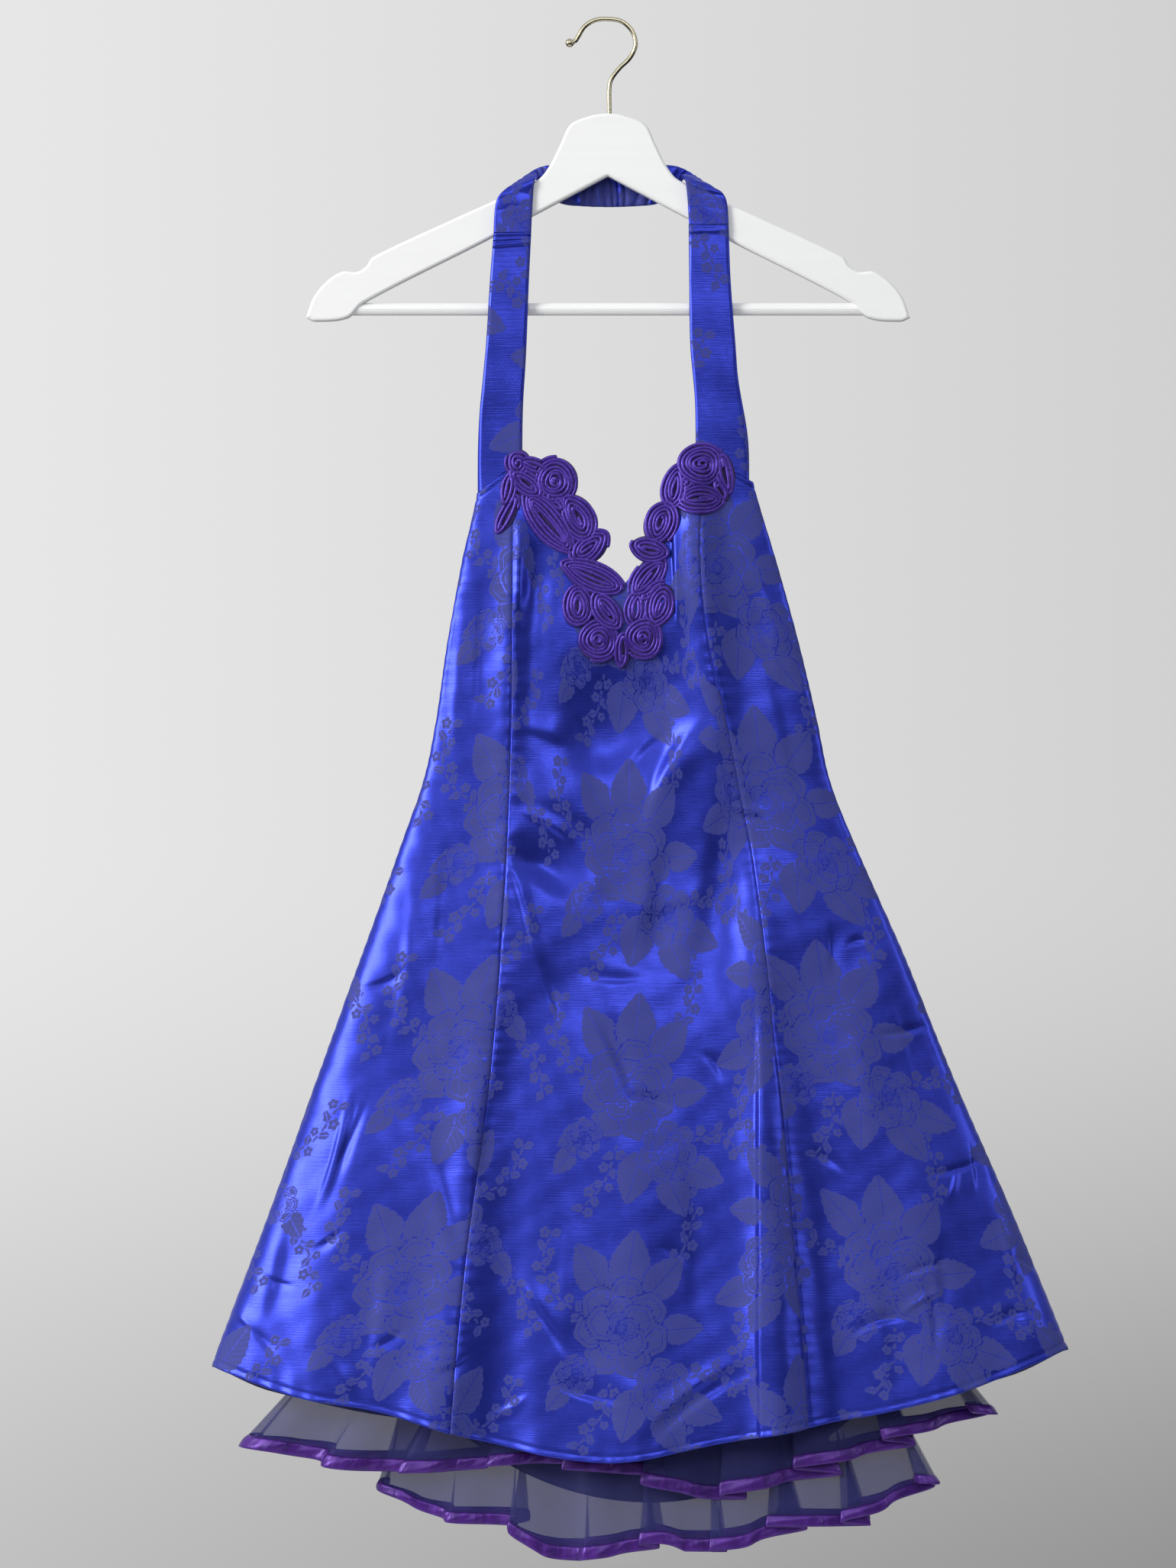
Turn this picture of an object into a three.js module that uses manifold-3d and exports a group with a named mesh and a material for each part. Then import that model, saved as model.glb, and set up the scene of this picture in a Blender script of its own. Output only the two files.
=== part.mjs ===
// A halter-neck party dress in blue satin jacquard, hung on a painted wooden hanger.
// Princess seams shape the front, two net frills bound in purple satin fill out the skirt from a lining,
// and an applique of purple cord roses and leaves borders the neckline.
// Millimetres, +Z up, the front faces -Y. The origin is where a rail bears inside the top of the hook.
import * as THREE from "three";
import { mergeVertices } from "three/addons/utils/BufferGeometryUtils.js";
import Module from "manifold-3d";

const wasm = await Module();
wasm.setup();

// Driving dimensions.
const TURN = 2 * Math.PI;
const SATIN = 1.5; // wall of the satin panels, with their fused backing
const LINING = 1.2; // wall of the lining
const NET = 1; // wall of the stiff net
const STRAP = 2; // wall of a strap, two layers of satin
const BINDING = { thickness: 1.8, height: 9.5, gap: 0.7 }; // satin strip folded over the net's edge
const SEAM = 0.36; // gap between sewn pieces, 0.3 where their walls lean together
const UNDERARM_Z = -515; // where the armhole edge ends and the side seam begins
const HANGER = { thickness: 13, barRadius: 4.7, barZ: -212.5, barHalf: 206, fit: 0.3 };
const WIRE = { radius: 1.7, ballRadius: 3.2, holeLength: 30 };

// How finely each piece is divided.
const BODICE_ROWS = 8;
const SKIRT_ROWS = 16;
const COLUMNS = { side_left: 10, centre: 14, side_right: 10, back_left: 14, back_right: 14 };
const LINING_GRID = { columns: 40, rows: 5 };
const FRILL_GRID = { perWave: 5, rows: 3 };
const STRAP_GRID = { columns: 4, rows: 8 };
const BAND_GRID = { columns: 2, rows: 88 };
const PHASE_STEPS = 240;
const ARC_STEPS = 1440;
const EDGE_SEARCH = { steps: 24, share: 0.6 };
const SIDES = { bar: 16, hole: 12 };
const HOOK_STEPS = 42;

// The shell's level sections: its left and right edges, and its front and back at the middle.
const SHELL = [
  { z: -318, left: -95, right: 103, front: -12, back: 6 },
  { z: -350, left: -97, right: 110, front: -13, back: 6 },
  { z: -402, left: -108.5, right: 125.5, front: -16, back: 7 },
  { z: -459, left: -119, right: 141, front: -19, back: 8 },
  { z: -515, left: -127, right: 154, front: -21, back: 9 },
  { z: -560, left: -136, right: 164, front: -23, back: 11 },
  { z: -606, left: -152, right: 182, front: -27, back: 14 },
  { z: -696, left: -184, right: 221, front: -35, back: 23 },
  { z: -787, left: -217, right: 258, front: -43, back: 30 },
  { z: -877, left: -249, right: 297, front: -51, back: 37 },
  { z: -967, left: -283, right: 334, front: -58, back: 43 },
  { z: -1060, left: -318, right: 372, front: -64, back: 48 },
];

const SIDE_EDGE = { top: -4, slope: 0.006 };
const RING_POWER = 0.8; // below 1, a ring is fuller than an ellipse
const SIDE_TURN = 0.04; // within this turn of a side edge

// Where the two princess seams run on the front.
const PRINCESS = [
  { z: -318, left: -70, right: 70 },
  { z: -402, left: -70.5, right: 68 },
  { z: -459, left: -70.5, right: 74 },
  { z: -515, left: -71, right: 87 },
  { z: -628, left: -75.5, right: 108 },
  { z: -775, left: -86, right: 124 },
  { z: -922, left: -105, right: 137 },
  { z: -1060, left: -117, right: 148 },
];

// The front's upper edge: strap seam, V neckline, strap seam.
const FRONT_TOP = [
  { x: -98, z: -350 },
  { x: -63, z: -323 },
  { x: -52, z: -347 },
  { x: -35, z: -373 },
  { x: -12, z: -398 },
  { x: 12, z: -416 },
  { x: 29, z: -395 },
  { x: 43, z: -369 },
  { x: 56, z: -345 },
  { x: 64, z: -317 },
  { x: 108, z: -341 },
];

// The hem of the front, and of the back, which hangs a little lower at the sides.
const FRONT_HEM = [
  { x: -300, z: -988 },
  { x: -230, z: -1010 },
  { x: -167, z: -1021 },
  { x: -103, z: -1039 },
  { x: -40, z: -1053 },
  { x: 10, z: -1056 },
  { x: 82, z: -1043 },
  { x: 150, z: -1031 },
  { x: 208, z: -1020 },
  { x: 270, z: -1003 },
  { x: 350, z: -973 },
];
const BACK_HEM = [
  { x: -300, z: -988 },
  { x: -250, z: -1013 },
  { x: -120, z: -1040 },
  { x: 20, z: -1054 },
  { x: 160, z: -1036 },
  { x: 300, z: -1001 },
  { x: 350, z: -973 },
];

// The largest folds: where each starts and ends, its half width there, and how far it stands proud or,
// below 0, lies in.
const FRONT_FOLDS = [
  { x0: -69, z0: -372, w0: 9, h0: 4, x1: -74, z1: -640, w1: 14, h1: 2 },
  { x0: -52, z0: -400, w0: 10, h0: -4, x1: -60, z1: -560, w1: 16, h1: -3 },
  { x0: 62, z0: -345, w0: 13, h0: 9, x1: 84, z1: -560, w1: 18, h1: 5 },
  { x0: 20, z0: -470, w0: 36, h0: -6, x1: 18, z1: -700, w1: 44, h1: -4 },
  { x0: 104, z0: -600, w0: 16, h0: 3, x1: 126, z1: -1060, w1: 20, h1: 13 },
  { x0: -82, z0: -700, w0: 18, h0: 2, x1: -128, z1: -1060, w1: 24, h1: 9 },
  { x0: -66, z0: -720, w0: 16, h0: -2, x1: -80, z1: -1060, w1: 22, h1: -9 },
  { x0: 150, z0: -760, w0: 16, h0: -1, x1: 170, z1: -1060, w1: 22, h1: -9 },
  { x0: 14, z0: -780, w0: 26, h0: 1, x1: 16, z1: -1060, w1: 30, h1: 7 },
  { x0: -190, z0: -800, w0: 22, h0: 1, x1: -220, z1: -1060, w1: 26, h1: 7 },
  { x0: 220, z0: -800, w0: 22, h0: 1, x1: 262, z1: -1060, w1: 28, h1: 7 },
];
const BACK_FOLDS = [
  { x0: -70, z0: -560, w0: 18, h0: 1, x1: -120, z1: -1060, w1: 30, h1: 9 },
  { x0: -20, z0: -600, w0: 20, h0: -1, x1: -48, z1: -1060, w1: 28, h1: -8 },
  { x0: 60, z0: -580, w0: 20, h0: 1, x1: 88, z1: -1060, w1: 28, h1: 8 },
  { x0: 120, z0: -640, w0: 18, h0: -1, x1: 168, z1: -1060, w1: 26, h1: -7 },
  { x0: 170, z0: -700, w0: 20, h0: 1, x1: 240, z1: -1060, w1: 30, h1: 7 },
  { x0: -120, z0: -700, w0: 20, h0: -1, x1: -190, z1: -1060, w1: 26, h1: -6 },
];
const FOLD_FADE = 60; // length over which a fold rises from nothing
const FOLD_SIDES = 1.5; // how soon the folds reach full height away from the side edges
const OPEN_END = -1000; // a fold that ends below this level runs out at the hem

// The lining leaves the satin at its top, falls to its own flatter rings and ends in a shallow curve.
const LINING_TOP = { z: -545, gap: 0.8, drop: 130 };
const LINING_RINGS = [
  { z: -545, centre: 13.5, half: 136, front: -18, back: 8 },
  { z: -700, centre: 17, half: 152, front: -22, back: 10 },
  { z: -880, centre: 24, half: 166, front: -24, back: 11 },
  { z: -1095, centre: 30, half: 176, front: -26, back: 11.5 },
];
const LINING_HEM = { z: -1090, rise: 0.0026 }; // it rises with the square of the distance from the middle

// Each net frill hangs from a seam on the lining and swells in waves down to its hem.
const FRILLS = [
  {
    name: "upper",
    seam: -905,
    centre: 3,
    half: 264,
    front: -42,
    back: 30,
    waves: 18,
    swell: 6,
    hem: [
      { x: -275, z: -1046 },
      { x: -190, z: -1065 },
      { x: -119, z: -1066 },
      { x: -54, z: -1060 },
      { x: 35, z: -1073 },
      { x: 77, z: -1087 },
      { x: 138, z: -1071 },
      { x: 191, z: -1053 },
      { x: 246, z: -1034 },
      { x: 278, z: -1020 },
    ],
  },
  {
    name: "lower",
    seam: -985,
    centre: 33,
    half: 195,
    front: -34,
    back: 18,
    waves: 16,
    swell: 3.5,
    hem: [
      { x: -165, z: -1078 },
      { x: -130, z: -1101 },
      { x: -66, z: -1110 },
      { x: -46, z: -1129 },
      { x: -11, z: -1131 },
      { x: 45, z: -1119 },
      { x: 57, z: -1125 },
      { x: 98, z: -1123 },
      { x: 129, z: -1108 },
      { x: 186, z: -1105 },
      { x: 228, z: -1076 },
    ],
  },
];
const WAVE_GROWTH = 1.3; // the power of the way down by which the waves swell
const FRILL_SEAM_GAP = 0.8; // from the lining's outer face to the frill's inner face at its seam

// The share of its length over which a strap turns onto the bodice.
const STRAP_JOIN = { from: 0.55, over: 0.45 };

// The straps' two edges from the joint with the neck band downwards; y is the face towards the hanger.
const STRAPS = {
  left: [
    { z: -157, outer: -84.2, inner: -56.5, y: -8 },
    { z: -193, outer: -87, inner: -58.2, y: -8.6 },
    { z: -238, outer: -89.8, inner: -59.9, y: -8.8 },
    { z: -284, outer: -93.8, inner: -62, y: -8.4 },
    { z: -330, outer: -96, inner: -63, y: -8 },
  ],
  right: [
    { z: -151, outer: 88.8, inner: 59.4, y: -8 },
    { z: -193, outer: 90.4, inner: 59.8, y: -8.6 },
    { z: -238, outer: 93.8, inner: 60.5, y: -8.8 },
    { z: -284, outer: 97.4, inner: 63.6, y: -8.4 },
    { z: -325, outer: 104, inner: 64.5, y: -8 },
  ],
};

// The neck band's middle surface, from the left joint over the hanger's arm to the middle behind its head:
// its outer edge, which becomes the upper one, and its inner edge, which becomes the lower one.
const NECK_BAND = [
  { ox: -84.2, oy: -9, oz: -156.7, ix: -56.5, iy: -9, iz: -156.7 },
  { ox: -83.5, oy: -9, oz: -142, ix: -55.8, iy: -9, iz: -140 },
  { ox: -82, oy: -9, oz: -133, ix: -55, iy: -9, iz: -127 },
  { ox: -79, oy: -8.7, oz: -128, ix: -54, iy: -9, iz: -118 },
  { ox: -71, oy: -4, oz: -121.6, ix: -52.6, iy: -3.4, iz: -114.2 },
  { ox: -63, oy: 4, oz: -115, ix: -51, iy: 5.8, iz: -113 },
  { ox: -56, oy: 9.4, oz: -109.5, ix: -48.5, iy: 10, iz: -119 },
  { ox: -48, oy: 10, oz: -106, ix: -42, iy: 10, iz: -129 },
  { ox: -35, oy: 10.5, oz: -104.5, ix: -33, iy: 9.8, iz: -134 },
  { ox: -18, oy: 11, oz: -104.3, ix: -17, iy: 10, iz: -135.5 },
  { ox: 0, oy: 11.2, oz: -104.3, ix: 0, iy: 10.2, iz: -136 },
];
// The right half is a little wider, and its front stretch joins its strap higher.
const BAND_RIGHT = { across: 1.055, lift: 6, liftBelow: -118, liftOver: 38, behindY: 7 };
const BAND_GATHERS = { count: 22, swell: 0.8 }; // ruched along its whole length

// The wire hook's centreline, in the plane of the hanger.
const HOOK = [
  { x: 1, z: -84 },
  { x: 1, z: -66 },
  { x: 1, z: -50 },
  { x: 2.5, z: -42.8 },
  { x: 8.2, z: -34.9 },
  { x: 16.1, z: -27 },
  { x: 20.3, z: -17.5 },
  { x: 18, z: -7.5 },
  { x: 10.5, z: -0.3 },
  { x: 0.5, z: 1.7 },
  { x: -9.3, z: 0.9 },
  { x: -17.2, z: -3.8 },
  { x: -21.9, z: -11.1 },
  { x: -24.3, z: -14.6 },
  { x: -28.2, z: -15.9 },
];

// Half of the hanger's outline, from the middle of its top round to the notch under its head.
const HANGER_OUTLINE = [
  { x: 0, z: -68.4 },
  { x: 12, z: -70 },
  { x: 27.5, z: -76.5 },
  { x: 35, z: -91 },
  { x: 43, z: -107 },
  { x: 52, z: -117.5 },
  { x: 112, z: -145.5 },
  { x: 173.5, z: -174.5 },
  { x: 178, z: -181 },
  { x: 185, z: -185.3 },
  { x: 195.5, z: -185 },
  { x: 207, z: -192 },
  { x: 217, z: -204 },
  { x: 222.5, z: -219 },
  { x: 216, z: -221.5 },
  { x: 192, z: -219 },
  { x: 180, z: -208 },
  { x: 90, z: -162 },
  { x: 0, z: -114.5 },
];

// The neckline applique: roses and leaves of coiled cord.
// Each has its centre, half sizes and tilt in degrees.
const APPLIQUE = [
  { run: "left", form: "rose", x: -66, z: -327, a: 9.5, b: 10.5, tilt: 0 },
  { run: "left", form: "leaf", x: -73.5, z: -346, a: 13.5, b: 6, tilt: 78 },
  { run: "left", form: "leaf", x: -74.5, z: -365, a: 17, b: 6, tilt: 62 },
  { run: "left", form: "leaf", x: -60, z: -342, a: 16, b: 9, tilt: -40 },
  { run: "left", form: "rose", x: -40.5, z: -337.5, a: 16, b: 16, tilt: 0 },
  { run: "left", form: "leaf", x: -43.5, z: -371, a: 28, b: 10.5, tilt: -52 },
  { run: "left", form: "leaf", x: -22.5, z: -366, a: 17, b: 11.5, tilt: -62 },
  { run: "left", form: "leaf", x: -14.5, z: -389, a: 16.5, b: 10, tilt: 38 },
  { run: "left", form: "leaf", x: -11, z: -411, a: 26, b: 11.5, tilt: -24 },
  { run: "left", form: "rose", x: -21.5, z: -432, a: 11.5, b: 15.5, tilt: 0 },
  { run: "left", form: "leaf", x: -0.5, z: -436, a: 16.5, b: 10, tilt: -56 },
  { run: "left", form: "rose", x: -7, z: -457, a: 15.5, b: 15.5, tilt: 0 },
  { run: "left", form: "leaf", x: 10.5, z: -465, a: 13.5, b: 6, tilt: 86 },
  { run: "right", form: "rose", x: 26, z: -455.5, a: 14.5, b: 15, tilt: 0 },
  { run: "right", form: "leaf", x: 21.5, z: -437, a: 14, b: 8.5, tilt: 80 },
  { run: "right", form: "leaf", x: 39, z: -434, a: 15.5, b: 10.5, tilt: 70 },
  { run: "right", form: "leaf", x: 29.5, z: -411, a: 20, b: 10.5, tilt: 48 },
  { run: "right", form: "leaf", x: 31, z: -390.5, a: 15, b: 9.5, tilt: -16 },
  { run: "right", form: "leaf", x: 39, z: -371, a: 17, b: 11.5, tilt: 68 },
  { run: "right", form: "leaf", x: 48.5, z: -345, a: 16.5, b: 9, tilt: 78 },
  { run: "right", form: "rose", x: 68.5, z: -328, a: 17, b: 16, tilt: 0 },
  { run: "right", form: "leaf", x: 68, z: -353.5, a: 19, b: 11.5, tilt: 0 },
  { run: "right", form: "leaf", x: 86, z: -334, a: 17, b: 7, tilt: -80 },
];
// A pad's heights above the satin, its crown's share of its size, how leaves narrow, and its clearances.
const PAD = { rose: 3.6, leaf: 2.6, edge: 1.5, crown: 0.62, taper: 0.35, sides: 8, clear: 0.7, gap: 0.3 };

// Smooth value of a column of a table at a place along another column, by cubic Hermite pieces.
function along(table, key, column, at) {
  const rising = table[1][key] > table[0][key] ? 1 : -1;
  const last = table.length - 1;
  let i = 0;
  while (i < last - 1 && rising * (at - table[i + 1][key]) > 0) i += 1;
  const slope = (k) => {
    const a = table[Math.max(k - 1, 0)];
    const b = table[Math.min(k + 1, last)];
    return (b[column] - a[column]) / (b[key] - a[key]);
  };
  const from = table[i];
  const to = table[i + 1];
  const span = to[key] - from[key];
  const t = (at - from[key]) / span;
  if (t < 0) return from[column] + slope(i) * (at - from[key]);
  if (t > 1) return to[column] + slope(i + 1) * (at - to[key]);
  const t2 = t * t;
  const t3 = t2 * t;
  return (
    (2 * t3 - 3 * t2 + 1) * from[column] +
    (t3 - 2 * t2 + t) * span * slope(i) +
    (3 * t2 - 2 * t3) * to[column] +
    (t3 - t2) * span * slope(i + 1)
  );
}

// Straight-line value of a column, for edges with corners.
function straight(table, key, column, at) {
  const last = table.length - 2;
  let i = 0;
  while (i < last && at > table[i + 1][key]) i += 1;
  const a = table[i];
  const b = table[i + 1];
  const t = Math.min(Math.max((at - a[key]) / (b[key] - a[key]), 0), 1);
  return a[column] + t * (b[column] - a[column]);
}

function mix(a, b, t) {
  return a + (b - a) * t;
}

function smooth(t) {
  const c = Math.min(Math.max(t, 0), 1);
  return c * c * (3 - 2 * c);
}

// How far all folds of one side stand proud at a place: each is a bell across, from its start to its end.
function foldHeight(folds, x, z) {
  let sum = 0;
  for (const fold of folds) {
    const t = (z - fold.z0) / (fold.z1 - fold.z0);
    const c = Math.min(Math.max(t, 0), 1.2);
    const across = (x - mix(fold.x0, fold.x1, c)) / mix(fold.w0, fold.w1, c);
    const rise = smooth((fold.z0 - z) / FOLD_FADE + 0.5);
    const end = fold.z1 > OPEN_END ? 1 - smooth((fold.z1 - z) / FOLD_FADE) : 1;
    sum += mix(fold.h0, fold.h1, Math.min(c, 1)) * Math.exp(-across * across) * rise * end;
  }
  return sum;
}

// The depth of the side edges, which drifts forward down the skirt.
function middleAt(z) {
  return SIDE_EDGE.top + SIDE_EDGE.slope * (z - SHELL[0].z);
}

// A point of the shell's outer face. turn runs from 0 at the left edge to pi at the right edge.
function shellPoint(side, turn, z) {
  const left = along(SHELL, "z", "left", z);
  const right = along(SHELL, "z", "right", z);
  const x = (left + right) / 2 - ((right - left) / 2) * Math.cos(turn);
  const middle = middleAt(z);
  const across = Math.pow(Math.max(Math.sin(turn), 0), RING_POWER);
  const deep = along(SHELL, "z", side, z);
  const folds = side === "front" ? FRONT_FOLDS : BACK_FOLDS;
  const out = foldHeight(folds, x, z) * Math.min(1, across * FOLD_SIDES);
  const y = middle + (deep - middle) * across + (side === "front" ? -out : out);
  return new THREE.Vector3(x, y, z);
}

// The turn at which the shell has a given x.
function turnAt(x, z) {
  const left = along(SHELL, "z", "left", z);
  const right = along(SHELL, "z", "right", z);
  const c = ((left + right) / 2 - x) / ((right - left) / 2);
  return Math.acos(Math.min(Math.max(c, -1), 1));
}

// The turns that bound each panel, at a level.
const PANEL_TURNS = {
  side_left: (z) => [0, turnAt(along(PRINCESS, "z", "left", z), z)],
  centre: (z) => [turnAt(along(PRINCESS, "z", "left", z), z), turnAt(along(PRINCESS, "z", "right", z), z)],
  side_right: (z) => [turnAt(along(PRINCESS, "z", "right", z), z), Math.PI],
  back_left: () => [0, Math.PI / 2],
  back_right: () => [Math.PI / 2, Math.PI],
};

// The level at which a panel's column meets an edge given as z over x, found by repeated substitution.
function levelOnEdge(side, turnsAt, t, edge, start) {
  let z = start;
  for (let i = 0; i < EDGE_SEARCH.steps; i += 1) {
    const [from, to] = turnsAt(z);
    z = mix(z, edge(shellPoint(side, mix(from, to, t), z).x), EDGE_SEARCH.share);
  }
  return z;
}

// Outward normal of a surface given by two parameters, from small steps of each.
function normalOf(surface, u, v, outward) {
  const step = 1e-3;
  const du = surface(u + step, v).sub(surface(u - step, v));
  const dv = surface(u, v + step).sub(surface(u, v - step));
  return du.cross(dv).normalize().multiplyScalar(outward);
}

// The shell's own normal, the same for both panels at a seam, and straight out at the side edges.
function shellNormal(side, turn, z) {
  if (turn < SIDE_TURN) return new THREE.Vector3(-1, 0, 0);
  if (turn > Math.PI - SIDE_TURN) return new THREE.Vector3(1, 0, 0);
  return normalOf((a, b) => shellPoint(side, a, b), turn, z, side === "front" ? 1 : -1);
}

// Whole turns run on from the front's right edge to the back: this gives the shell's side and turn for one.
function sideOf(turn) {
  const whole = ((turn % TURN) + TURN) % TURN;
  return whole <= Math.PI ? ["front", whole] : ["back", TURN - whole];
}

function geometryOf(points, faces) {
  const geometry = new THREE.BufferGeometry();
  geometry.setFromPoints(points);
  geometry.setIndex(faces);
  return facingOut(geometry);
}

// The same geometry with its faces turned if they point inwards, by the sign of its volume.
function facingOut(geometry) {
  const p = geometry.getAttribute("position");
  const index = geometry.index.array;
  const corner = [new THREE.Vector3(), new THREE.Vector3(), new THREE.Vector3()];
  let volume = 0;
  for (let i = 0; i < index.length; i += 3) {
    corner.forEach((c, k) => c.fromBufferAttribute(p, index[i + k]));
    volume += corner[0].dot(corner[1].cross(corner[2]));
  }
  if (volume < 0)
    for (let i = 0; i < index.length; i += 3)
      [index[i + 1], index[i + 2]] = [index[i + 2], index[i + 1]];
  return geometry;
}

// A closed wall over a grid. sample gives a column and row's two points, outside and inside.
// A ring's last column joins its first.
function wall(columns, rows, sample, ring) {
  const across = ring ? columns : columns + 1;
  const layers = [[], []];
  for (let j = 0; j <= rows; j += 1)
    for (let i = 0; i < across; i += 1) sample(i, j).forEach((point, k) => layers[k].push(point));
  const at = (layer, i, j) => layer * (rows + 1) * across + j * across + (i % across);
  const faces = [];
  const quad = (a, b, c, d) => faces.push(a, b, c, a, c, d);
  for (let j = 0; j < rows; j += 1)
    for (let i = 0; i < columns; i += 1) {
      quad(at(0, i, j), at(0, i + 1, j), at(0, i + 1, j + 1), at(0, i, j + 1));
      quad(at(1, i, j), at(1, i, j + 1), at(1, i + 1, j + 1), at(1, i + 1, j));
    }
  for (let i = 0; i < columns; i += 1) {
    quad(at(0, i, 0), at(1, i, 0), at(1, i + 1, 0), at(0, i + 1, 0));
    quad(at(0, i, rows), at(0, i + 1, rows), at(1, i + 1, rows), at(1, i, rows));
  }
  if (!ring)
    for (let j = 0; j < rows; j += 1) {
      quad(at(0, 0, j), at(0, 0, j + 1), at(1, 0, j + 1), at(1, 0, j));
      quad(at(0, columns, j), at(1, columns, j), at(1, columns, j + 1), at(0, columns, j + 1));
    }
  return geometryOf([...layers[0], ...layers[1]], faces);
}

function solidOf(geometry) {
  const bare = geometry.clone();
  bare.deleteAttribute("normal");
  bare.deleteAttribute("uv");
  const merged = mergeVertices(bare, 1e-3);
  return new wasm.Manifold(
    new wasm.Mesh({
      numProp: 3,
      vertProperties: merged.attributes.position.array,
      triVerts: new Uint32Array(merged.index.array),
    }),
  );
}

// The largest body of a solid, as a geometry.
function geometryFrom(solid) {
  const bodies = solid.decompose();
  const largest = bodies.reduce((best, body) => (body.volume() > best.volume() ? body : best));
  const mesh = largest.getMesh();
  const geometry = new THREE.BufferGeometry();
  geometry.setAttribute("position", new THREE.BufferAttribute(mesh.vertProperties, 3));
  geometry.setIndex(new THREE.BufferAttribute(mesh.triVerts, 1));
  return geometry;
}

// A shell panel's outer points and normals by column and row. The front's first rows run down to the
// underarm level and the rest to the hem, so that neighbours match along their seams.
function panelGrid(name, columns) {
  const side = name.startsWith("back") ? "back" : "front";
  const turnsAt = PANEL_TURNS[name];
  const bodice = side === "back" ? 0 : BODICE_ROWS;
  const rows = bodice + SKIRT_ROWS;
  const neckline = (x) => straight(FRONT_TOP, "x", "z", x);
  const hem = (x) => along(side === "back" ? BACK_HEM : FRONT_HEM, "x", "z", x);
  const grid = [];
  for (let i = 0; i <= columns; i += 1) {
    const t = i / columns;
    const top = bodice ? levelOnEdge(side, turnsAt, t, neckline, FRONT_TOP[0].z) : UNDERARM_Z;
    const low = levelOnEdge(side, turnsAt, t, hem, FRONT_HEM[0].z);
    const column = [];
    for (let j = 0; j <= rows; j += 1) {
      const above = mix(top, UNDERARM_Z, j / Math.max(bodice, 1));
      const z = j < bodice ? above : mix(UNDERARM_Z, low, (j - bodice) / SKIRT_ROWS);
      const [from, to] = turnsAt(z);
      const turn = mix(from, to, t);
      column.push({ point: shellPoint(side, turn, z), normal: shellNormal(side, turn, z) });
    }
    grid.push(column);
  }
  return { grid, rows };
}

// A panel as a wall, its seam edges drawn back by half a seam along the surface.
// raised moves its outer face out, to cut a clearance with.
function panel(name, columns, raised = 0) {
  const { grid, rows } = panelGrid(name, columns);
  const drawn = (i, j) => {
    const inside = i === 0 ? 1 : i === columns ? columns - 1 : i;
    const way = grid[inside][j].point.clone().sub(grid[i][j].point);
    return grid[i][j].point.clone().addScaledVector(way.normalize(), SEAM / 2);
  };
  const sample = (i, j) => {
    const { normal } = grid[i][j];
    const point = raised ? grid[i][j].point : drawn(i, j);
    return [point.clone().addScaledVector(normal, raised), point.clone().addScaledVector(normal, -SATIN)];
  };
  return wall(columns, rows, sample, false);
}

// A ring with flattened sides, at a turn from its left edge round by the front.
function ringPoint(ring, turn, z) {
  const deep = Math.sin(turn) >= 0 ? ring.front : ring.back;
  const middle = middleAt(z);
  const across = Math.pow(Math.abs(Math.sin(turn)), RING_POWER);
  return new THREE.Vector3(ring.centre - ring.half * Math.cos(turn), middle + (deep - middle) * across, z);
}

// Outward direction of a surface's level section at a turn.
function levelNormal(surface, turn, z) {
  const step = 1e-3;
  const way = surface(turn + step, z).sub(surface(turn - step, z));
  return new THREE.Vector3(way.y, -way.x, 0).normalize();
}

// The lining's outer face: it starts inside the satin and falls away to its own rings.
function liningPoint(turn, z) {
  const [side, shellTurn] = sideOf(turn);
  const inside = shellPoint(side, shellTurn, z).addScaledVector(
    shellNormal(side, shellTurn, z),
    -SATIN - LINING_TOP.gap,
  );
  const ring = {
    centre: along(LINING_RINGS, "z", "centre", z),
    half: along(LINING_RINGS, "z", "half", z),
    front: along(LINING_RINGS, "z", "front", z),
    back: along(LINING_RINGS, "z", "back", z),
  };
  return inside.lerp(ringPoint(ring, turn, z), smooth((LINING_TOP.z - z) / LINING_TOP.drop));
}

// Turns that divide a ring into columns of even length.
function evenTurns(ring, columns) {
  const place = (i) => ringPoint(ring, (i / ARC_STEPS) * TURN, 0);
  const lengths = [0];
  for (let i = 1; i <= ARC_STEPS; i += 1) lengths.push(lengths[i - 1] + place(i).distanceTo(place(i - 1)));
  const turns = [];
  let i = 0;
  for (let k = 0; k < columns; k += 1) {
    const target = (lengths[ARC_STEPS] * k) / columns;
    while (lengths[i + 1] < target) i += 1;
    turns.push(((i + (target - lengths[i]) / (lengths[i + 1] - lengths[i])) / ARC_STEPS) * TURN);
  }
  return turns;
}

// A ring-shaped wall whose outer face is a function of turn and of v, 0 at its top and 1 at its hem.
function ringWall(turns, rows, from, to, thickness, surface) {
  const sample = (i, j) => {
    const v = mix(from, to, j / rows);
    const outer = surface(turns[i], v);
    const normal = normalOf(surface, turns[i], v, -1);
    return [outer, outer.clone().addScaledVector(normal, -thickness)];
  };
  return wall(turns.length, rows, sample, true);
}

function liningSurface(turn, v) {
  const last = LINING_RINGS[LINING_RINGS.length - 1];
  const away = last.half * Math.cos(turn);
  const hem = LINING_HEM.z + LINING_HEM.rise * away * away;
  return liningPoint(turn, mix(LINING_TOP.z, hem, v));
}

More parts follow.
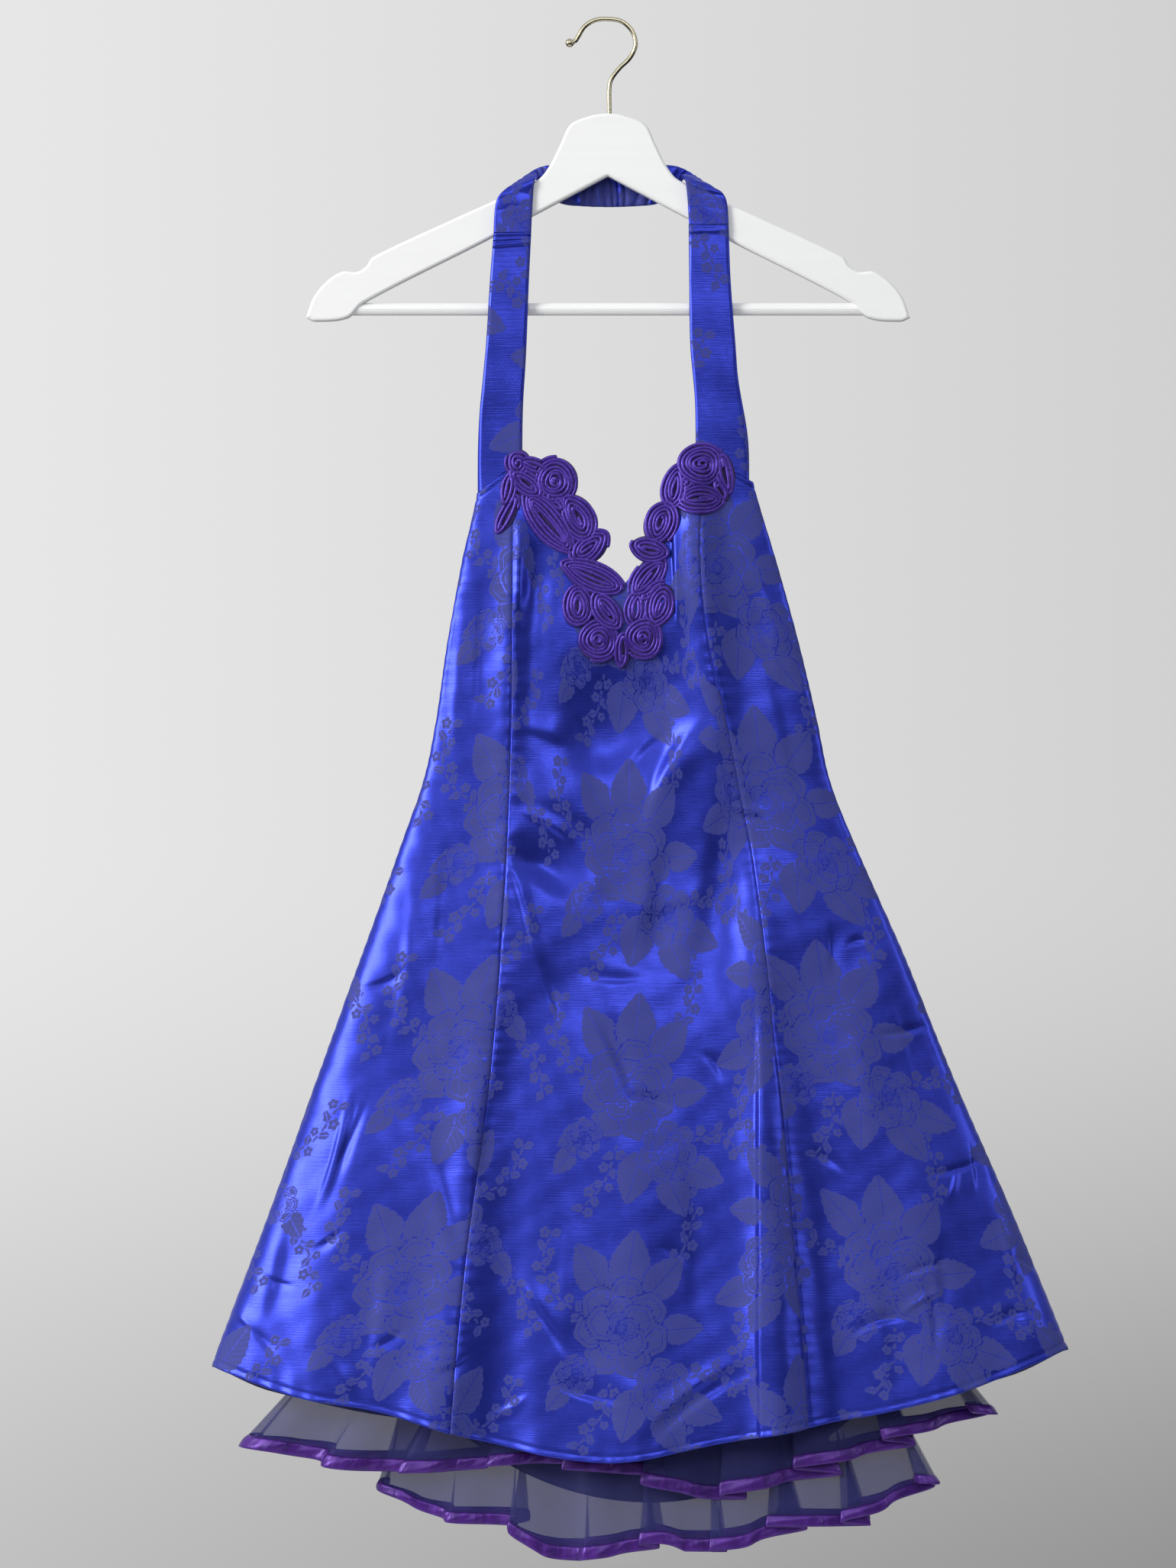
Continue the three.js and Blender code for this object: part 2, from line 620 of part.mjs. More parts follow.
// A frill's outer face: it widens from its seam on the lining to its hem ring, and its waves swell downwards.
function frillSurface(frill) {
  return (turn, v) => {
    const top = liningPoint(turn, frill.seam);
    top.addScaledVector(levelNormal(liningPoint, turn, frill.seam), FRILL_SEAM_GAP + NET);
    const away = levelNormal((t, z) => ringPoint(frill, t, z), turn, frill.seam);
    const hem = ringPoint(frill, turn, frill.seam);
    hem.z = along(frill.hem, "x", "z", hem.x);
    const place = top.lerp(hem, v);
    const wave = Math.sin(frill.waves * frill.phase(turn));
    return place.addScaledVector(away, frill.swell * wave * Math.pow(Math.max(v, 0), WAVE_GROWTH));
  };
}

// The share of the way round a ring at a turn, as an angle, for waves of even length.
function evenPhase(ring) {
  const turns = evenTurns(ring, PHASE_STEPS);
  return (turn) => {
    const whole = ((turn % TURN) + TURN) % TURN;
    let i = turns.findIndex((t) => t > whole);
    if (i < 0) i = PHASE_STEPS;
    const from = turns[i - 1];
    const to = i < PHASE_STEPS ? turns[i] : TURN;
    return ((i - 1 + (whole - from) / (to - from)) / PHASE_STEPS) * TURN;
  };
}

// A strap's inside face, ending on the bodice's upper edge.
function strapGrid(name) {
  const table = STRAPS[name];
  const end = table[table.length - 1];
  const grid = [];
  for (let i = 0; i <= STRAP_GRID.columns; i += 1) {
    const t = i / STRAP_GRID.columns;
    const foot = { x: mix(end.outer, end.inner, t) };
    foot.z = straight(FRONT_TOP, "x", "z", foot.x) + SEAM;
    foot.y = shellPoint("front", turnAt(foot.x, foot.z), foot.z).y + SATIN;
    const column = [];
    for (let j = 0; j <= STRAP_GRID.rows; j += 1) {
      const v = j / STRAP_GRID.rows;
      const z = mix(table[0].z, foot.z, v);
      const x = mix(along(table, "z", "outer", z), along(table, "z", "inner", z), t);
      const join = smooth((v - STRAP_JOIN.from) / STRAP_JOIN.over);
      const y = along(table, "z", "y", z);
      column.push(new THREE.Vector3(mix(x, foot.x, join), mix(y, foot.y, join), z));
    }
    grid.push(column);
  }
  return grid;
}

// A strap as a wall; raised moves its front out, to cut a clearance with.
function strap(name, raised = 0) {
  const grid = strapGrid(name);
  const forward = new THREE.Vector3(0, -STRAP - raised, 0);
  const sample = (i, j) => [grid[i][j].clone().add(forward), grid[i][j]];
  return wall(STRAP_GRID.columns, STRAP_GRID.rows, sample, false);
}

// The neck band: two edge curves round the hanger's neck, ruled across, with the wall swelling in gathers.
function neckBand() {
  const right = [...NECK_BAND].reverse().slice(1);
  const lifted = (row, z) => {
    const share = row.oy < BAND_RIGHT.behindY ? smooth((BAND_RIGHT.liftBelow - z) / BAND_RIGHT.liftOver) : 0;
    return z + BAND_RIGHT.lift * share;
  };
  const edge = (x, y, z) => [
    ...NECK_BAND.map((row) => new THREE.Vector3(row[x], row[y], row[z])),
    ...right.map((row) => new THREE.Vector3(-row[x] * BAND_RIGHT.across, row[y], lifted(row, row[z]))),
  ];
  const outerEdge = new THREE.CatmullRomCurve3(edge("ox", "oy", "oz"), false, "centripetal");
  const innerEdge = new THREE.CatmullRomCurve3(edge("ix", "iy", "iz"), false, "centripetal");
  const clamp = (t) => Math.min(Math.max(t, 0), 1);
  const surface = (u, v) => outerEdge.getPoint(clamp(v)).lerp(innerEdge.getPoint(clamp(v)), clamp(u));
  const sample = (i, j) => {
    const u = i / BAND_GRID.columns;
    const v = j / BAND_GRID.rows;
    const normal = normalOf(surface, u, v, 1);
    const gather = BAND_GATHERS.swell * Math.sin(TURN * BAND_GATHERS.count * v);
    const middle = surface(u, v);
    return [0.5, -0.5].map((half) => middle.clone().addScaledVector(normal, SATIN * half + gather));
  };
  return wall(BAND_GRID.columns, BAND_GRID.rows, sample, false);
}

// A coiled-cord pad: an ellipse, narrowed to its ends for a leaf, that follows the satin and is domed.
// grow enlarges it all round, to cut a clearance with.
function cordPad(element, grow = 0) {
  const { form, x, z, tilt } = element;
  const [a, b] = [element.a + grow, element.b + grow];
  const lean = THREE.MathUtils.degToRad(tilt);
  const place = (radius, angle, height) => {
    const lengthwise = a * radius * Math.cos(angle);
    const taper = form === "leaf" ? 1 - PAD.taper * Math.pow(Math.abs(Math.cos(angle)), 3) : 1;
    const across = b * radius * Math.sin(angle) * taper;
    const px = x + lengthwise * Math.cos(lean) - across * Math.sin(lean);
    const pz = z + lengthwise * Math.sin(lean) + across * Math.cos(lean);
    const turn = turnAt(px, pz);
    const side = shellPoint("front", turn, pz);
    return side.addScaledVector(shellNormal("front", turn, pz), PAD.clear + height);
  };
  const rings = [
    { radius: 1, height: -grow },
    { radius: 1, height: PAD.edge + grow },
    { radius: PAD.crown, height: PAD[form] + grow },
    { radius: PAD.crown, height: -grow },
  ];
  const points = [place(0, 0, -grow), place(0, 0, PAD[form] + grow)];
  for (const ring of rings)
    for (let k = 0; k < PAD.sides; k += 1)
      points.push(place(ring.radius, (k / PAD.sides) * TURN, ring.height));
  const at = (ring, k) => 2 + ring * PAD.sides + (k % PAD.sides);
  const faces = [];
  for (let k = 0; k < PAD.sides; k += 1) {
    for (const [low, high] of [[0, 1], [1, 2], [3, 0]])
      faces.push(at(low, k), at(low, k + 1), at(high, k + 1), at(low, k), at(high, k + 1), at(high, k));
    faces.push(1, at(2, k), at(2, k + 1), 0, at(3, k + 1), at(3, k));
  }
  return geometryOf(points, faces);
}

// One side's pads joined into one solid.
function padsOf(name, grow = 0) {
  const elements = APPLIQUE.filter((element) => element.run === name);
  const pads = elements.map((element) => solidOf(cordPad(element, grow)));
  return pads.reduce((sum, pad) => sum.add(pad));
}

// One side's run of applique, kept clear of the satin and of the strap.
function appliqueRun(name) {
  const fronts = ["side_left", "centre", "side_right"];
  const panels = fronts.map((part) => panel(part, COLUMNS[part], PAD.gap));
  const under = [...panels, strap(name, PAD.gap)];
  return under.reduce((run, part) => run.subtract(solidOf(part)), padsOf(name));
}

// A round peg along X or Z, centred where it is said.
function peg(radius, length, sides, axis, x, z) {
  const geometry = new THREE.CylinderGeometry(radius, radius, length, sides);
  if (axis === "x") geometry.rotateZ(Math.PI / 2);
  else geometry.rotateX(Math.PI / 2);
  geometry.translate(x, 0, z);
  return geometry;
}

// The hanger's board, cut from its outline, bored for the bar and drilled for the hook.
function hangerSolid() {
  const left = HANGER_OUTLINE.slice(1, -1).reverse();
  const outline = [...HANGER_OUTLINE, ...left.map(({ x, z }) => ({ x: -x, z }))];
  const shape = new THREE.Shape(outline.map(({ x, z }) => new THREE.Vector2(x, z)));
  const board = new THREE.ExtrudeGeometry(shape, { depth: HANGER.thickness, bevelEnabled: false });
  board.rotateX(Math.PI / 2);
  board.translate(0, HANGER.thickness / 2, 0);
  const boreLength = 2 * (HANGER.barHalf + HANGER.fit);
  const bore = peg(HANGER.barRadius + HANGER.fit, boreLength, SIDES.bar, "x", 0, HANGER.barZ);
  const foot = HOOK[0];
  const holeZ = foot.z - HANGER.fit + WIRE.holeLength / 2;
  const hole = peg(WIRE.radius + HANGER.fit, WIRE.holeLength, SIDES.hole, "z", foot.x, holeZ);
  return solidOf(board).subtract(solidOf(bore)).subtract(solidOf(hole));
}

// The wire hook with the ball on its tip.
function hook() {
  const route = HOOK.map(({ x, z }) => new THREE.Vector3(x, 0, z));
  const path = new THREE.CatmullRomCurve3(route, false, "centripetal");
  const section = new THREE.Shape();
  section.absarc(0, 0, WIRE.radius, 0, TURN);
  const wire = new THREE.ExtrudeGeometry(section, { extrudePath: path, steps: HOOK_STEPS, curveSegments: 4 });
  const tip = HOOK[HOOK.length - 1];
  const ball = new THREE.SphereGeometry(WIRE.ballRadius, 10, 8);
  ball.translate(tip.x, 0, tip.z);
  return geometryFrom(solidOf(wire).add(solidOf(ball)));
}

const satin = { color: 0x2c3cc4, roughness: 0.38, metalness: 0.25 };
const navy = { color: 0x1b2258, roughness: 0.55, metalness: 0 };
const net = { color: 0x3a3f80, roughness: 0.7, metalness: 0 };
const purple = { color: 0x6a3aa8, roughness: 0.4, metalness: 0.1 };
const paintedWood = { color: 0xf2f2f0, roughness: 0.35, metalness: 0 };
const brass = { color: 0xc2b584, roughness: 0.25, metalness: 1 };

const dress = new THREE.Group();
function piece(name, geometry, finish) {
  const mesh = new THREE.Mesh(geometry, new THREE.MeshStandardMaterial(finish));
  mesh.name = name;
  dress.add(mesh);
}

piece("front_centre", panel("centre", COLUMNS.centre), satin);
piece("front_side_left", panel("side_left", COLUMNS.side_left), satin);
piece("front_side_right", panel("side_right", COLUMNS.side_right), satin);
piece("back_left", panel("back_left", COLUMNS.back_left), satin);
piece("back_right", panel("back_right", COLUMNS.back_right), satin);
piece("strap_left", strap("left"), satin);
piece("strap_right", strap("right"), satin);
piece("neck_band", neckBand(), satin);

piece("applique_left", geometryFrom(appliqueRun("left")), purple);
piece("applique_right", geometryFrom(appliqueRun("right").subtract(padsOf("left", SEAM))), purple);

const liningTurns = evenTurns(LINING_RINGS[1], LINING_GRID.columns);
piece("lining", ringWall(liningTurns, LINING_GRID.rows, 0, 1, LINING, liningSurface), navy);
for (const frill of FRILLS) {
  frill.phase = evenPhase(frill);
  const turns = evenTurns(frill, frill.waves * FRILL_GRID.perWave);
  const surface = frillSurface(frill);
  const drop = frill.seam - along(frill.hem, "x", "z", frill.centre);
  const bound = 1 - BINDING.height / drop;
  const netEnd = bound - BINDING.gap / drop;
  piece(`frill_${frill.name}`, ringWall(turns, FRILL_GRID.rows, 0, netEnd, NET, surface), net);
  piece(`binding_${frill.name}`, ringWall(turns, 1, bound, 1, BINDING.thickness, surface), purple);
}

piece("hanger_body", geometryFrom(hangerSolid()), paintedWood);
piece("hanger_bar", peg(HANGER.barRadius, 2 * HANGER.barHalf, SIDES.bar, "x", 0, HANGER.barZ), paintedWood);
piece("hanger_hook", hook(), brass);

export default dress;
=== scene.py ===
import bpy
import numpy as np
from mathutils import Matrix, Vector


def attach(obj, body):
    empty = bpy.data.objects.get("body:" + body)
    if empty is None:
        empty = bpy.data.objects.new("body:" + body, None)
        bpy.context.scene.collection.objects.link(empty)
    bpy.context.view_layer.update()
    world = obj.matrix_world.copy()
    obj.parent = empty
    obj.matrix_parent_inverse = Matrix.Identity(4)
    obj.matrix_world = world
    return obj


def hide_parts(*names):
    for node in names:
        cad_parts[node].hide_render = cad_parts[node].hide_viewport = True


# A halter-neck party dress in blue satin jacquard, hung on a painted wooden hanger.
# Metres, +Z up, the front faces -Y. The origin is where a rail bears inside the top of the wire hook.
# Tables are written in millimetres and scaled where they are made.
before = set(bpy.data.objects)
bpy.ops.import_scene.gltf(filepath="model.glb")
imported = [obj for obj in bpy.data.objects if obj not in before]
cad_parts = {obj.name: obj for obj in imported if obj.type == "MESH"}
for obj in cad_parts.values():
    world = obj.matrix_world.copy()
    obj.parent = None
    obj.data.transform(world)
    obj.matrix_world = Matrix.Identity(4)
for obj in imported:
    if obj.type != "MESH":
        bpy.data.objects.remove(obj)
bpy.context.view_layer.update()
MM = 0.001

# Camera, floor and light
# A level camera in front of the dress, a plain pale floor far below it, and soft studio light: a large
# source on the left, a weaker one in front and a pale room all round.
FRAME_HEIGHT = 1.157
FRAME_CENTRE = (-0.0147, -0.5628)
CAMERA_AWAY = 4.5
SENSOR_HEIGHT = 24
FLOOR_LEVEL = -1.6
FLOOR_RADIUS = 1.4
FLOOR_CORNERS = 96
BRIGHT_WAY = (-0.28, 0.1, 0.86)
ROOM_COLOUR = (0.86, 0.88, 0.92, 1)
DRESS_MIDDLE = Vector((0.02, 0, -0.65))

scene = bpy.context.scene
scene.view_settings.view_transform = "Standard"
camera = bpy.data.objects.new("camera", bpy.data.cameras.new("camera"))
camera.data.sensor_fit = "VERTICAL"
camera.data.sensor_height = SENSOR_HEIGHT
camera.data.lens = SENSOR_HEIGHT * CAMERA_AWAY / FRAME_HEIGHT
camera.location = (FRAME_CENTRE[0], -CAMERA_AWAY, FRAME_CENTRE[1])
camera.rotation_euler = (np.pi / 2, 0, 0)
scene.collection.objects.link(camera)
scene.camera = camera


def soft_light(name, place, width, height, power, colour=(1, 1, 1)):
    """A rectangular light at a place, turned to face the middle of the dress."""
    light = bpy.data.lights.new(name, "AREA")
    light.shape = "RECTANGLE"
    light.size = width
    light.size_y = height
    light.energy = power
    light.color = colour
    lamp = bpy.data.objects.new(name, light)
    lamp.location = place
    lamp.rotation_euler = (DRESS_MIDDLE - lamp.location).to_track_quat("-Z", "Y").to_euler()
    scene.collection.objects.link(lamp)


def fill(tree, node, values):
    """Sets a node's input sockets, whose names may have _ for a space. Each value is a number, a link, or
    a node, which stands for its first output."""
    for socket, value in dict(values).items():
        if isinstance(socket, str):
            socket = socket.replace("_", " ")
        if isinstance(value, bpy.types.Node):
            value = value.outputs[0]
        if isinstance(value, bpy.types.NodeSocket):
            tree.links.new(value, node.inputs[socket])
        else:
            node.inputs[socket].default_value = value


def add_node(tree, kind, values=(), **settings):
    """A new node with its settings and the values of its input sockets."""
    node = tree.nodes.new(kind)
    for name, value in settings.items():
        setattr(node, name, value)
    fill(tree, node, values)
    return node


def blend(tree, factor, low, high):
    """The colour between low and high by a factor; each is a colour or a link."""
    return add_node(tree, "ShaderNodeMix", {0: factor, 6: low, 7: high}, data_type="RGBA").outputs[2]


def reckon(tree, operation, *numbers):
    """A node that works out an operation on one to three numbers, links or nodes."""
    return add_node(tree, "ShaderNodeMath", enumerate(numbers), operation=operation)


def ranged(tree, value, *limits, ease="LINEAR"):
    """A node that carries a value from one range to another: lowest and highest before and after."""
    return add_node(tree, "ShaderNodeMapRange", enumerate((value, *limits)), interpolation_type=ease)


def grain(tree, place, scale, detail=2.0, lean=0.0, **more):
    """Noise at a place. scale is one number, or one for each axis, which are then turned by a lean."""
    if isinstance(scale, tuple):
        stretch = {"Vector": place, "Rotation": (0, 0, lean), "Scale": scale}
        place = add_node(tree, "ShaderNodeMapping", stretch)
        scale = 1.0
    return add_node(tree, "ShaderNodeTexNoise", {"Vector": place, "Scale": scale, "Detail": detail, **more})


def new_finish(name, **values):
    """A material whose Principled shader has the values given."""
    finish = bpy.data.materials.new(name)
    finish.use_nodes = True
    shader = finish.node_tree.nodes["Principled BSDF"]
    fill(finish.node_tree, shader, values)
    return finish, finish.node_tree, shader


def grained_finish(name, place, scale, low, high, detail=2.0, lean=0.0, bump=None, **values):
    """A material whose colour goes from low to high by a grain. place is "cloth" for the cloth map or
    "Object" for the piece's own axes, and bump gives the strength and the height of a relief."""
    finish, tree, shader = new_finish(name, **values)
    if place == "cloth":
        at = add_node(tree, "ShaderNodeUVMap", uv_map="cloth")
    else:
        at = add_node(tree, "ShaderNodeTexCoord").outputs[place]
    height = grain(tree, at, scale, detail, lean)
    fill(tree, shader, {"Base Color": blend(tree, height, low, high)})
    if bump:
        relief = {"Height": height, "Strength": bump[0], "Distance": bump[1]}
        fill(tree, shader, {"Normal": add_node(tree, "ShaderNodeBump", relief)})
    return finish


soft_light("left_window", (-2.9, -1.9, 0.6), 1.3, 2.2, 108, (1.0, 0.99, 0.97))
soft_light("front_fill", (0.2, -4.4, 1.2), 2.4, 1.0, 34, (0.98, 0.99, 1.0))
soft_light("right_edge", (2.7, -0.9, -0.1), 0.4, 1.8, 9, (0.97, 0.98, 1.0))

# Seen by the camera, the room is a pale wall with painted light and shade, lighter to the left and darker
# towards the floor. What the cloth reflects is brighter above and to the left, and dim below and to the
# right.
world = bpy.data.worlds.new("pale_room")
scene.world = world
world.use_nodes = True
room = world.node_tree
room.nodes.clear()
room_way = add_node(room, "ShaderNodeTexCoord").outputs["Generated"]
room_axes = add_node(room, "ShaderNodeSeparateXYZ", {0: room_way}).outputs
wall_left = reckon(room, "MULTIPLY_ADD", room_axes["X"], -0.85, 0.72)
low_share = reckon(room, "MULTIPLY_ADD", room_axes["X"], -1.1, 0.53)
wall_low = ranged(room, room_axes["Z"], -0.15, -0.01, low_share, 1.0, ease="SMOOTHSTEP")
# painted light and shade on the wall: brighter to the left, darker low down and to the right
wall_painted_light = reckon(room, "MULTIPLY", wall_left, wall_low)
wall_kept = add_node(room, "ShaderNodeClamp", {"Value": wall_painted_light, "Min": 0.25, "Max": 0.84})
seen = add_node(room, "ShaderNodeBackground", {"Color": wall_kept, "Strength": 1.0})
bright_side = add_node(room, "ShaderNodeVectorMath", {0: room_way, 1: BRIGHT_WAY}, operation="DOT_PRODUCT")
bright = ranged(room, bright_side.outputs["Value"], -0.28, 0.26, 0.015, 0.76, ease="SMOOTHSTEP")
around = add_node(room, "ShaderNodeBackground", {"Color": ROOM_COLOUR, "Strength": bright})
camera_ray = add_node(room, "ShaderNodeLightPath").outputs["Is Camera Ray"]
room_mix = add_node(room, "ShaderNodeMixShader", {0: camera_ray, 1: around, 2: seen})
add_node(room, "ShaderNodeOutputWorld", {"Surface": room_mix})

floor_turns = np.linspace(0, 2 * np.pi, FLOOR_CORNERS, endpoint=False)
floor_rim = np.stack([FLOOR_RADIUS * np.cos(floor_turns), FLOOR_RADIUS * np.sin(floor_turns),
                      np.full(FLOOR_CORNERS, FLOOR_LEVEL)], -1)
floor_mesh = bpy.data.meshes.new("floor")
floor_mesh.from_pydata(floor_rim.tolist(), [], [list(range(FLOOR_CORNERS))])
floor = bpy.data.objects.new("floor", floor_mesh)
scene.collection.objects.link(floor)
floor_finish, floor_tree, floor_shader = new_finish("pale_floor", Roughness=0.8)
floor_grain = add_node(floor_tree, "ShaderNodeTexNoise", {"Scale": 9.0, "Detail": 3.0})
fill(floor_tree, floor_shader, {"Base Color": ranged(floor_tree, floor_grain, 0.0, 1.0, 0.62, 0.68)})
floor_mesh.materials.append(floor_finish)

# The satin shell
# Five panels of satin jacquard, three in front between two princess seams and two behind, with turned
# edges. They hang as one hollow shell that widens to the hem in soft folds.
SATIN = 1.5 * MM
SEAM_GAP = 0.1 * MM
UNDERARM = -515 * MM
# level, left edge, right edge, depth of the front and of the back at the middle
SHELL = MM * np.array([
    (-318, -95, 103, -12, 6), (-350, -97, 110, -13, 6), (-402, -108.5, 125.5, -16, 7),
    (-459, -119, 141, -19, 8), (-515, -127, 154, -21, 9), (-560, -136, 164, -23, 11),
    (-606, -152, 182, -27, 14), (-696, -184, 221, -35, 23), (-787, -217, 258, -43, 30),
    (-877, -249, 297, -51, 37), (-967, -283, 334, -58, 43), (-1060, -318, 372, -64, 48)])
RING_POWER = 0.8
# level, left seam, right seam
PRINCESS = MM * np.array([
    (-318, -70, 70), (-402, -70.5, 68), (-459, -70.5, 74), (-515, -71, 87), (-628, -75.5, 108),
    (-775, -86, 124), (-922, -105, 137), (-1060, -117, 148)])
# the column of each seam
PRINCESS_COLUMN = {"left": 1, "right": 2}
# place across, level
FRONT_TOP = MM * np.array([
    (-98, -350), (-63, -323), (-52, -347), (-35, -373), (-12, -398), (12, -416), (29, -395), (43, -369),
    (56, -345), (64, -317), (108, -341)])
FRONT_HEM = MM * np.array([
    (-300, -988), (-230, -1010), (-167, -1021), (-103, -1039), (-40, -1053), (10, -1056), (82, -1043),
    (150, -1031), (208, -1020), (270, -1003), (350, -973)])
BACK_HEM = MM * np.array([
    (-300, -988), (-250, -1013), (-120, -1040), (20, -1054), (160, -1036), (300, -1001), (350, -973)])
# start across and level, half width and height there, then the same at the end
FRONT_FOLDS = MM * np.array([
    (-69, -372, 9, 4, -74, -640, 14, 2), (-52, -400, 10, -4, -60, -560, 16, -3),
    (62, -345, 13, 9, 84, -560, 18, 5), (20, -470, 36, -6, 18, -700, 44, -4),
    (104, -600, 16, 3, 126, -1060, 20, 13), (-82, -700, 18, 2, -128, -1060, 24, 9),
    (-66, -720, 16, -2, -80, -1060, 22, -9), (150, -760, 16, -1, 170, -1060, 22, -9),
    (14, -780, 26, 1, 16, -1060, 30, 7), (-190, -800, 22, 1, -220, -1060, 26, 7),
    (220, -800, 22, 1, 262, -1060, 28, 7)])
BACK_FOLDS = MM * np.array([
    (-70, -560, 18, 1, -120, -1060, 30, 9), (-20, -600, 20, -1, -48, -1060, 28, -8),
    (60, -580, 20, 1, 88, -1060, 28, 8), (120, -640, 18, -1, 168, -1060, 26, -7),
    (170, -700, 20, 1, 240, -1060, 30, 7), (-120, -700, 20, -1, -190, -1060, 26, -6)])
FOLD_FADE = 60 * MM
OPEN_END = -1
# creases: from and to (across, level), half width, height, and how far the line bows sideways
FRONT_CREASES = MM * np.array([
    (-48, -522, 66, -516, 30, -6.5, -12), (-70, -566, -6, -590, 15, 2.4, 6),
    (-72, -612, -20, -640, 15, -3.0, 5), (66, -520, 40, -575, 11, 2.6, -4),
    (52, -596, 36, -700, 15, -4.6, -3), (10, -668, 60, -640, 12, 2.0, 4),
    (-60, -583, -27, -604, 5, 2.2, 2), (-70, -612, -24, -642, 15, -5.0, 3),
    (-71, -619, -51, -693, 4, 2.0, 1), (-48, -693, -34, -734, 5, -2.0, 1),
    (-34, -470, -6, -560, 15, -2.6, 4), (-62, -519, -30, -531, 7, 1.6, 2),
    (93, -536, 68, -712, 20, -5.4, 6), (68, -520, 30, -596, 8, 2.2, -6), (4, -480, 26, -491, 8, 1.4, 2),
    (8, -554, 36, -522, 7, 1.8, 2), (-16, -703, 26, -704, 4.5, -1.4, -2),
    (-10, -730, 19, -789, 7, -2.4, 3), (18, -790, 44, -799, 3.6, -2.2, 1),
    (-83, -775, -93, -862, 7, -3.2, 0), (-126, -824, -108, -902, 9, -2.6, 0),
    (-186, -797, -203, -862, 3, -1.2, 2), (-192, -800, -212, -870, 3, 1.2, 2),
    (-176, -792, -198, -842, 2.6, -0.9, 1), (-61, -926, -32, -969, 5, 2.2, 1),
    (-55, -938, -26, -984, 5, -1.6, 1), (-39, -999, 9, -1012, 4, -1.7, -2),
    (26, -1033, 93, -984, 4.5, 1.9, 4), (34, -1038, 99, -992, 5, -1.6, 4),
    (-279, -948, -249, -968, 4, 1.6, 1), (-268, -950, -243, -982, 4, -1.3, 1),
    (-198, -985, -186, -1010, 4, 1.2, 0), (164, -668, 166, -700, 4, -1.3, 0),
    (242, -900, 246, -950, 5, -1.6, 1), (268, -826, 272, -862, 3.5, -1.4, 1),
    (286, -880, 300, -930, 6, 1.8, 2), (94, -578, 112, -585, 2.4, 1.1, 0),
    (93, -585, 112, -590, 2.4, -1.0, 0), (118, -470, 140, -560, 9, -1.4, 3),
    (-104, -440, -112, -540, 8, 1.3, -2), (-92, -420, -96, -520, 6, -1.2, 0),
    (110, -400, 126, -480, 8, 1.3, 2), (-140, -640, -156, -760, 10, 1.6, 3),
    (-120, -600, -124, -700, 8, -1.5, 2), (176, -720, 196, -860, 12, 1.8, 4),
    (205, -700, 236, -800, 9, -1.4, 3), (-230, -880, -248, -960, 9, -1.8, 2),
    (-160, -900, -172, -1010, 10, 1.8, 2), (60, -820, 66, -960, 12, -2.0, 3),
    (-20, -850, -30, -1000, 11, 1.8, -3), (-4, -678, 56, -690, 16, -2.4, -3),
    (50, -470, 62, -560, 16, 2.2, 3), (-30, -960, 60, -1010, 20, -2.4, 4),
    (-52, -372, -58, -440, 12, -2.0, 2), (200, -930, 214, -1012, 9, -2.0, 2),
    (300, -940, 318, -985, 8, 1.8, 1), (198, -747, 240, -738, 2.6, -1.6, -2),
    (236, -849, 276, -838, 2.2, -1.5, -2), (256, -842, 250, -866, 2.4, 1.2, 1),
    (296, -909, 314, -920, 2.4, -1.3, 1), (218, -921, 246, -914, 2.6, -1.6, 2),
    (180, -963, 214, -952, 3.4, -2.4, 3), (214, -950, 242, -934, 2.6, 1.4, 2),
    (232, -926, 238, -978, 3.2, -1.5, 3), (176, -680, 190, -678, 2.4, -1.2, 1),
    (262, -800, 282, -806, 2.4, -1.2, 1), (150, -834, 172, -846, 3.2, -1.2, 2),
    (282, -958, 312, -950, 3, -1.4, 2), (-150, -700, -176, -712, 3, -1.2, 2),
    (-196, -890, -214, -902, 2.6, -1.3, 1), (-150, -960, -170, -974, 3, -1.4, 2),
    (-232, -930, -252, -924, 2.6, -1.2, 1), (-100, -980, -124, -992, 3.4, -1.5, 2),
    (-60, -1010, -84, -1024, 3, 1.4, 1), (40, -900, 56, -914, 3.4, -1.4, 2),
    (-10, -930, 12, -940, 3.4, -1.3, 2), (70, -760, 84, -778, 3.6, -1.3, 2)])
BACK_CREASES = MM * np.array([
    (-96, -530, -60, -560, 7, -1.6, 4), (104, -532, 66, -566, 7, -1.7, -4),
    (-40, -548, 60, -552, 8, 1.5, -5), (-30, -575, 50, -582, 8, -1.4, -6),
    (-110, -600, -128, -700, 9, 1.6, 2), (150, -620, 176, -730, 9, 1.5, 3),
    (10, -640, 22, -800, 12, 1.9, 3), (-60, -700, -78, -830, 10, -1.8, 2),
    (90, -740, 120, -900, 11, -1.9, 4), (-150, -760, -184, -900, 10, 1.8, 3),
    (190, -780, 236, -930, 11, 1.7, 4), (-20, -850, -30, -1000, 12, -2.0, 3),
    (40, -880, 62, -1030, 11, 1.9, 3), (-90, -900, -112, -1020, 9, 1.8, 2),
    (-230, -900, -252, -980, 9, -1.6, 2), (280, -900, 306, -975, 9, -1.8, 2),
    (-200, -985, -176, -1016, 4, 1.6, 1), (120, -1000, 152, -1030, 4, -1.6, 1)])
# a fold lapped over its left neighbour: from, to, height and how far it takes to fall away to the right
FRONT_LAPS = MM * np.array([
    (109, -700, 110, -1042, 5.5, 20), (47, -356, 50, -450, 3.2, 16), (-67, -360, -68, -440, 2.6, 13)])


